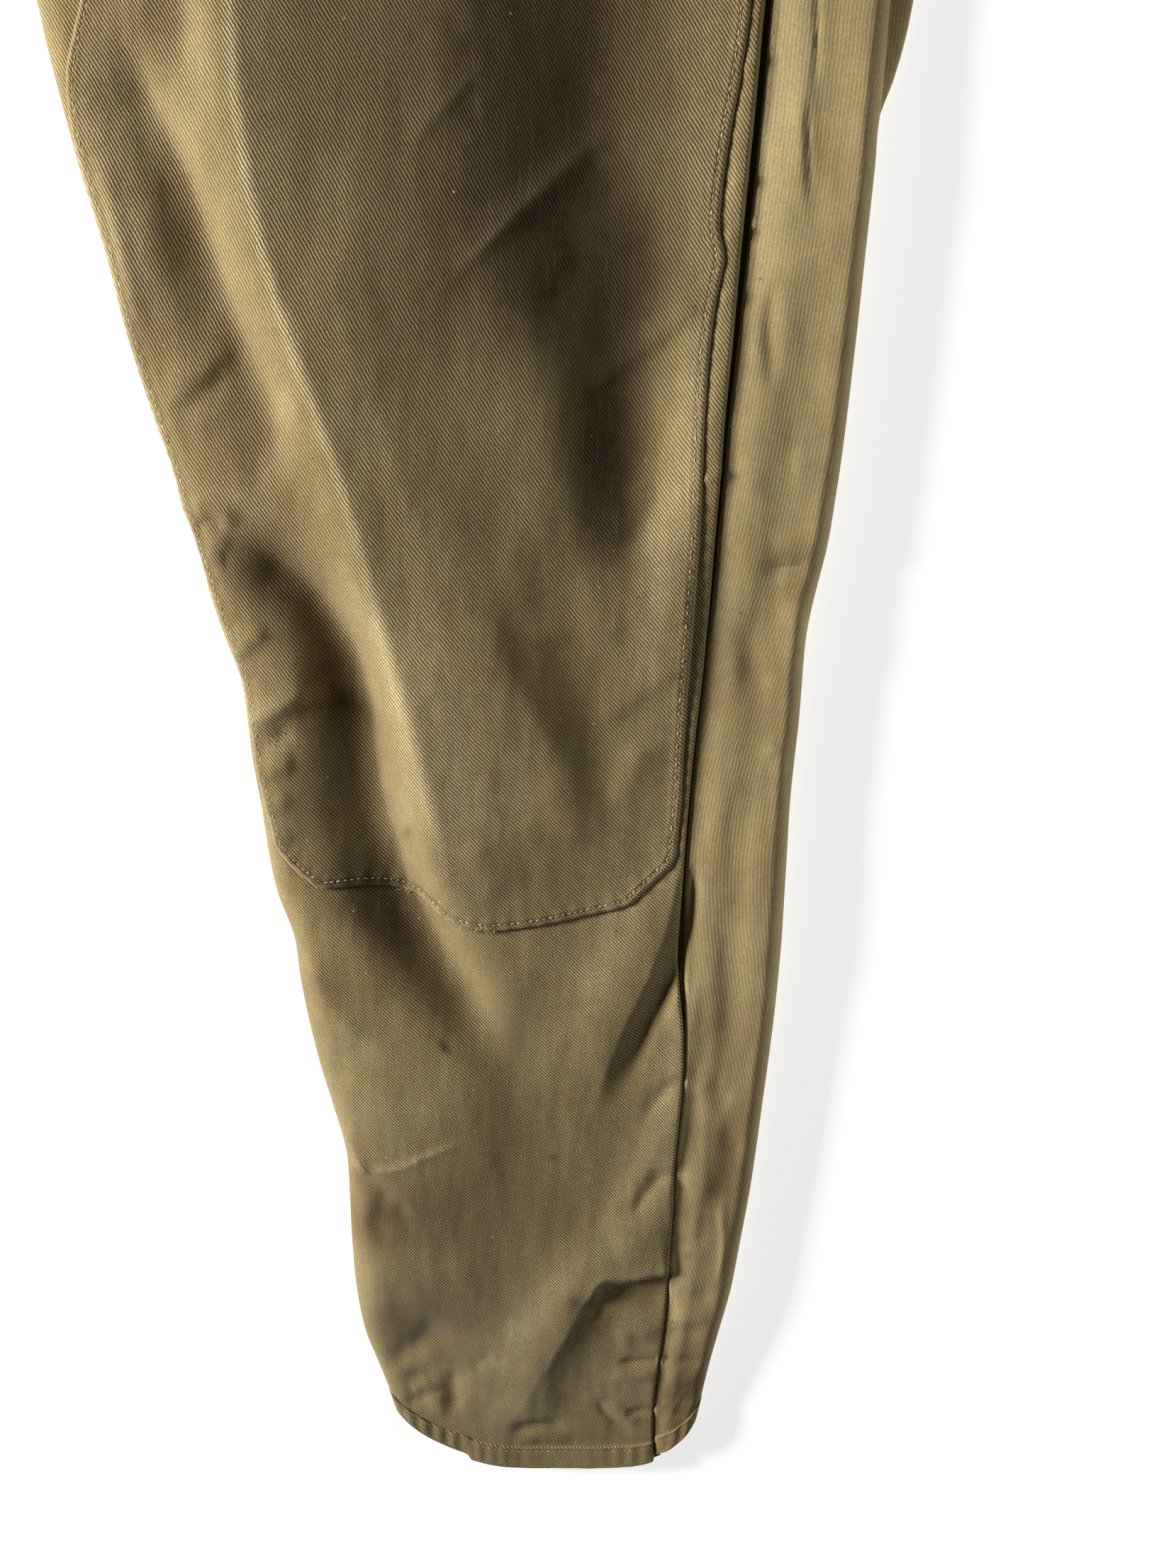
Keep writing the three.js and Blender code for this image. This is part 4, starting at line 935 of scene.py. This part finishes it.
def makeTwillGroup():
    # Ridges of twill run along v. Each is a row of yarn floats, so its height is a sine across the ridge
    # times a finer sine along it, both shaken a little by noise.
    group, inputs, outputs = nodeGroup(
        "drillTwill", [("Pitch", "NodeSocketFloat", 0.001), ("Unevenness", "NodeSocketFloat", 0.5)],
        [("Height", "NodeSocketFloat"), ("Ridge", "NodeSocketFloat"), ("Fleck", "NodeSocketFloat")])
    add, maths, _, noise, stretched, _, _ = nodeMakers(group)
    uv = add("ShaderNodeUVMap", uv_map="grain").outputs[0]
    parts = add("ShaderNodeSeparateXYZ", {0: uv})
    pitch = inputs.outputs["Pitch"]
    slow = maths("MULTIPLY", maths("SUBTRACT", noise(uv, 90.0, 2.0), 0.5), 0.0012)
    quick = maths("MULTIPLY", maths("SUBTRACT", noise(uv, 900.0, 2.0), 0.5), 0.00045)
    across = maths("DIVIDE", maths("ADD", parts.outputs[0], maths("ADD", slow, quick)), pitch)
    ridge = maths("MULTIPLY_ADD", maths("SINE", maths("MULTIPLY", across, 2 * math.pi)), 0.5, 0.5)
    along = maths("DIVIDE", parts.outputs[1], maths("MULTIPLY", pitch, 0.62))
    staggered = maths("ADD", along, maths("MULTIPLY", maths("FLOOR", across), 0.37))
    floats = maths("MULTIPLY_ADD", maths("SINE", maths("MULTIPLY", staggered, 2 * math.pi)), 0.5, 0.5)
    fleck = noise(stretched(uv, 2600.0, 1100.0, 1.0), 1.0, 1.0)
    body = maths("MULTIPLY", ridge, maths("MULTIPLY_ADD", floats, 0.35, 0.65))
    unevenness = maths("MULTIPLY", maths("MULTIPLY", fleck, inputs.outputs["Unevenness"]), 0.7)
    height = maths("ADD", body, unevenness)
    group.links.new(height, outputs.inputs["Height"])
    group.links.new(body, outputs.inputs["Ridge"])
    group.links.new(fleck, outputs.inputs["Fleck"])
    return group


def makeAgeingGroup():
    # Washed and worn drill: blotches of two tints, streaks along the leg, crests lighter from wear and from
    # painted highlight, brown soil with painted shade, faded patches with painted highlight, pale and dark
    # specks, and ridges of twill that are lighter than the furrows between them
    colours = [(label, "NodeSocketColor", None) for label in ("Base", "Tint", "Faded_and_highlight", "Soil_and_shade")]
    shares = [(label, "NodeSocketFloat", 0.5) for label in ("Ridge", "Fleck", "Contrast")]
    group, inputs, outputs = nodeGroup(
        "agedDrill", colours + shares,
        [("Colour", "NodeSocketColor"), ("Roughness", "NodeSocketFloat"), ("Slub", "NodeSocketFloat")])
    add, maths, mixColour, noise, stretched, remap, _ = nodeMakers(group)
    base, tint, pale, brown, ridge, fleck, contrast = (inputs.outputs[row[0]] for row in colours + shares)
    place = add("ShaderNodeTexCoord").outputs["Object"]
    soil_and_shade, wearAndHighlight = (add("ShaderNodeAttribute", attribute_name=name).outputs["Fac"] for name in ("soil_and_shade", "wearAndHighlight"))
    blotch = noise(place, 24.0, 5.0, Roughness=0.6)
    mottle = noise(place, 85.0, 5.0, Roughness=0.65)
    streak = noise(stretched(place, 620.0, 42.0, 300.0), 1.0, 3.0, Roughness=0.6)
    grain = noise(place, 1100.0, 3.0, Roughness=0.8)
    colour = mixColour("MIX", remap(blotch, 0.36, 0.66), base, tint)
    uneven = maths("MULTIPLY_ADD", grain, 0.4, maths("MULTIPLY_ADD", mottle, 0.9, 0.2))
    uneven = maths("MULTIPLY_ADD", streak, 0.3, uneven)
    # above zero the attribute mixes in the brown: soil, and painted shade in the hollows
    soiledAndShaded = maths("MULTIPLY", maths("MAXIMUM", soil_and_shade, 0.0), uneven)
    colour = mixColour("MIX", remap(soiledAndShaded, 0.06, 0.86, 0.0, 0.95), colour, brown)
    # below zero it mixes in the pale colour: faded cloth, and painted highlight on lit flanks and edges
    faded_and_highlight = maths("MULTIPLY", maths("MAXIMUM", maths("MULTIPLY", soil_and_shade, -1.0), 0.0), uneven)
    rubbedAndHighlight = maths("ADD", faded_and_highlight, remap(streak, 0.56, 0.78, 0.0, 0.2))
    # crests are lightened too: wear, and painted highlight along the folds' crests
    bright = maths("MINIMUM", maths("ADD", maths("MULTIPLY", wearAndHighlight, uneven), rubbedAndHighlight), 1.0)
    colour = mixColour("MIX", maths("MULTIPLY", bright, 0.7), colour, pale)
    lint = add("ShaderNodeTexVoronoi", {"Vector": place, "Scale": 105.0}).outputs["Distance"]
    speck = remap(lint, 0.045, 0.07, 0.75, 0.0)
    colour = mixColour("MIX", maths("MULTIPLY", speck, maths("GREATER_THAN", mottle, 0.53)), colour, pale)
    colour = mixColour("MIX", maths("MULTIPLY", speck, maths("LESS_THAN", mottle, 0.42)), colour, brown)
    tone = maths("MULTIPLY", remap(mottle, 0.3, 0.7, 0.91, 1.08), remap(grain, 0.3, 0.7, 0.78, 1.2))
    twill = maths("MULTIPLY_ADD", maths("SUBTRACT", ridge, 0.42), contrast, 1.0)
    shade = maths("MULTIPLY", maths("MULTIPLY", tone, twill), remap(fleck, 0.55, 0.85, 1.0, 1.35))
    grey = add("ShaderNodeCombineColor", {0: shade, 1: shade, 2: shade}).outputs[0]
    colour = mixColour("MULTIPLY", 1.0, colour, grey)
    rough = remap(mottle, 0.3, 0.7, 0.84, 0.97)
    group.links.new(colour, outputs.inputs["Colour"])
    group.links.new(rough, outputs.inputs["Roughness"])
    group.links.new(streak, outputs.inputs["Slub"])
    return group


twillGroup, ageingGroup = makeTwillGroup(), makeAgeingGroup()

# Each cloth's linear colours, the twill's pitch and the bump's depth in metres, and the twill's contrast
drillSettings = dict(
    frontDrill=dict(base=(0.305, 0.238, 0.106), tint=(0.262, 0.186, 0.076), faded_and_highlight=(0.56, 0.450, 0.235),
                    soil_and_shade=(0.088, 0.055, 0.022), pitch=0.00114, depth=0.00034, contrast=1.05),
    patchDrill=dict(base=(0.296, 0.230, 0.105), tint=(0.252, 0.178, 0.074), faded_and_highlight=(0.56, 0.450, 0.238),
                    soil_and_shade=(0.074, 0.046, 0.019), pitch=0.00114, depth=0.00036, contrast=1.1),
    # the strip's base and tint are lighter than the fronts': partly sun-faded cloth, partly painted light, as
    # the strip faces the light more
    stripDrill=dict(base=(0.425, 0.338, 0.162), tint=(0.368, 0.272, 0.122), faded_and_highlight=(0.56, 0.448, 0.228),
                    soil_and_shade=(0.118, 0.074, 0.030), pitch=0.00150, depth=0.00006, contrast=0.15),
)


def newMaterial(name):
    material = bpy.data.materials.new(name)
    material.use_nodes = True
    material.node_tree.nodes.clear()
    return material, nodeMakers(material.node_tree)


def makeDrill(name):
    s = drillSettings[name]
    material, (add, _, _, _, _, _, surface) = newMaterial(name)
    twill = add("ShaderNodeGroup", node_tree=twillGroup)
    twill.inputs["Pitch"].default_value = s["pitch"]
    colours = {label: (*s[label.lower()], 1.0) for label in ("Base", "Tint", "Faded_and_highlight", "Soil_and_shade")}
    aged = add("ShaderNodeGroup", node_tree=ageingGroup)
    for label, value in {**colours, "Contrast": s["contrast"]}.items():
        aged.inputs[label].default_value = value
    for label in ("Ridge", "Fleck"):
        material.node_tree.links.new(twill.outputs[label], aged.inputs[label])
    height = twill.outputs["Height"]
    weave = add("ShaderNodeBump", {"Height": height, "Distance": s["depth"], "Strength": 1.0})
    slub = add("ShaderNodeBump", {"Height": aged.outputs["Slub"], "Distance": 0.0001, "Strength": 0.5,
                                  "Normal": weave.outputs[0]})
    surface({"Base Color": aged.outputs["Colour"], "Roughness": aged.outputs["Roughness"],
             "Normal": slub.outputs[0], "Specular IOR Level": 0.22, "Sheen Weight": 0.12,
             "Sheen Roughness": 0.5})
    return material


def makeThread():
    material, (add, _, mixColour, noise, _, remap, surface) = newMaterial("sewingThread")
    place = add("ShaderNodeTexCoord").outputs["Object"]
    share = remap(noise(place, 260.0, 2.0), 0.35, 0.65)
    colour = mixColour("MIX", share, (0.34, 0.27, 0.15, 1), (0.60, 0.50, 0.31, 1))
    ply = noise(place, 3400.0, 1.0)
    bump = add("ShaderNodeBump", {"Height": ply, "Distance": 0.00012, "Strength": 0.8})
    surface({"Base Color": colour, "Roughness": 0.75, "Normal": bump.outputs[0], "Specular IOR Level": 0.25})
    return material


def makeButtonFinish():
    material, (add, _, mixColour, noise, _, remap, surface) = newMaterial("buttonHorn")
    grain = noise(add("ShaderNodeTexCoord").outputs["Object"], 240.0, 4.0, Distortion=1.5)
    colour = mixColour("MIX", grain, (0.045, 0.026, 0.013, 1), (0.20, 0.125, 0.06, 1))
    surface({"Base Color": colour, "Roughness": remap(grain, 0.3, 0.7, 0.3, 0.5)})
    return material


drills = {name: makeDrill(name) for name in drillSettings}
thread, horn = makeThread(), makeButtonFinish()
print("materials made")


def finishPiece(piece, material, node=None):
    piece.data.materials.clear()
    piece.data.materials.append(material)
    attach(piece, "root")
    if node:
        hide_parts(node)
    return piece


# Camera
cameraData = bpy.data.cameras.new("camera")
cameraData.lens = photo["lens"]
cameraData.sensor_width = 36.0
cameraData.clip_start, cameraData.clip_end = 0.01, 20.0
camera = bpy.data.objects.new("camera", cameraData)
bpy.context.collection.objects.link(camera)
camera.location = toMetres([photo["x"], photo["y"], photo["z"]], False)
camera.rotation_euler = (-math.radians(photo["tilt"]), 0, 0)
bpy.context.scene.camera = camera


def clothPiece(label, half, faces, lean, pivot, drill, seamDirt=0.0, every=4):
    # A panel of one half takes the place of the CAD's node of the same name. lean is its column of twillLean,
    # and pivot the x about which its twill turns.
    outer, inner, wearAndHighlight = faces
    values = surfaceValues(outer, wearAndHighlight, seamDirt)
    grain = grainUv(outer, lean, pivot)
    piece = stitchedWall("drill_" + label, outer, inner, half["mirrored"], values, grain, every)
    finishPiece(piece, drills[drill], label)


for side, half in halves.items():
    mirrored, seed, cloth = half["mirrored"], half["seed"], garment["cloth"]
    frontOuter, wearAndHighlight = frontGrid(half)
    inner = frontOuter - gridNormals(frontOuter) * cloth
    opened = smoothStep(705, 745, rows)[:, None]
    inner[:, 0] = frontOuter[:, 0] + np.hstack([cloth * (1 - opened), 0 * opened, -cloth * opened])
    inner[..., 0] = np.maximum(inner[..., 0], garment["middleGap"])
    clothPiece("front_" + side, half, (frontOuter, inner, wearAndHighlight), "front", 190, "frontDrill")

    backOuter, wearAndHighlight = backGrid(half)
    inner = backOuter - gridNormals(backOuter) * cloth
    inner[..., 0] = np.maximum(inner[..., 0], garment["middleGap"])
    clothPiece("back_" + side, half, (backOuter, inner, wearAndHighlight), "strip", 320, "stripDrill",
               every=3)
    clothPiece("knee_patch_" + side, half, patchGrids(half), "front", 190, "patchDrill", 0.4)

    border = inset(patchLine, patchSettings["stitchFrom"])
    places = everyPitch(np.vstack([border, border[:1]]), stitch["pitch"], seed=seed)
    found = onCloth(places, half, lift=garment["seamGap"] + patchSettings["thickness"] + 0.1)
    threads = [beadMesh("patch_topstitch_" + side, *found, mirrored, seed=seed)]

    for label, grid, heights, span in (("hem_stitch_front_", frontOuter, rows, (0.1, 0.97)),
                                       ("hem_stitch_back_", backOuter, backRows, (0.5, 0.95))):
        hemRow = int(np.argmin(np.abs(heights - garment["hemStitch"])))
        found = alongGrid(grid, row=hemRow, span=span, pitch=hemStitch["pitch"], seed=seed)
        threads.append(beadMesh(label + side, *found, mirrored, hemStitch, seed=seed + 1))
    found = alongGrid(backOuter, column=3, span=(0, 0.97), pitch=nub["pitch"], jitter=0.3, seed=seed)
    threads.append(beadMesh("strip_stitch_" + side, *found, mirrored, nub, 0.3, seed=seed))
    if side == "left":
        torn = [(163, 299), (174, 294.4), (182, 288.5), (193, 285), (204, 284)]
        found = fibres(torn, 0.9, 70, half, 1.6, 12)
        threads.append(beadMesh("frayed_threads", *found, False, fibre, 0.3))
        ends = everyPitch(through([(133.5, 186), (137, 179), (141, 171.5), (145, 165)]), 2.1, 0.2)
        threads.append(beadMesh("seam_end_threads", *onCloth(ends, half, lift=0.15), False, fibre, 0.3))
        fly = through([(37, 962), (36, 880), (35, 820), (30, 786), (18, 768), (3, 760)])
        found = onCloth(everyPitch(fly, stitch["pitch"]), half, lift=0.1)
        threads.append(beadMesh("fly_topstitch", *found, False))
    for piece in threads:
        finishPiece(piece, thread)
    onPatch, onFront, onBack = threads[:1], [threads[1]] + threads[4:], threads[2:4]
    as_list(onPatch)
    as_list(onFront)
    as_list(onBack)
    print(side, "half made")

for name in ("waistband_left", "waistband_right", "fly_guard", "waist_button"):
    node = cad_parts[name]
    node.data.materials.clear()
    node.data.materials.append(horn if name == "waist_button" else drills["frontDrill"])
print("waistband, fly guard and button finished")

# Floor and light
floorSettings = dict(reach=3.0, height=-0.0006, glow=0.7)
floorMesh = bpy.data.meshes.new("floor")
corners = [(floorSettings["reach"] * x, floorSettings["reach"] * y, floorSettings["height"])
           for x, y in ((-1, -1), (1, -1), (1, 1), (-1, 1))]
floorMesh.from_pydata(corners, [], [(0, 1, 2, 3)])
floor = bpy.data.objects.new("floor", floorMesh)
bpy.context.collection.objects.link(floor)
paper = bpy.data.materials.new("paper")
paper.use_nodes = True
paperShader = paper.node_tree.nodes["Principled BSDF"]
paperShader.inputs["Base Color"].default_value = (0.9, 0.9, 0.895, 1)
paperShader.inputs["Roughness"].default_value = 0.9
paperShader.inputs["Emission Color"].default_value = (1, 1, 1, 1)
paperShader.inputs["Emission Strength"].default_value = floorSettings["glow"]
floorMesh.materials.append(paper)


def areaLight(name, azimuth, elevation, distance, size, power, colour=(1, 1, 1), target=(0.2, -0.12, 0.0)):
    # azimuth is measured from +X towards +Y
    a, e = math.radians(azimuth), math.radians(elevation)
    data = bpy.data.lights.new(name, "AREA")
    data.size, data.energy, data.color = size, power, colour
    light = bpy.data.objects.new(name, data)
    bpy.context.collection.objects.link(light)
    away = np.array([math.cos(a) * math.cos(e), math.sin(a) * math.cos(e), math.sin(e)])
    light.location = np.array(target) + distance * away
    light.rotation_euler = Vector(away).to_track_quat("Z", "Y").to_euler()


areaLight("window", 168, 18, 1.7, 0.45, 63, (1.0, 0.98, 0.94))
areaLight("rim", 8, 24, 1.7, 0.6, 7, (0.97, 0.98, 1.0))
world = bpy.data.worlds.new("studio")
world.use_nodes = True
world.node_tree.nodes["Background"].inputs[0].default_value = (1, 1, 1, 1)
world.node_tree.nodes["Background"].inputs[1].default_value = 0.03
bpy.context.scene.world = world
bpy.context.scene.view_settings.view_transform = "Standard"
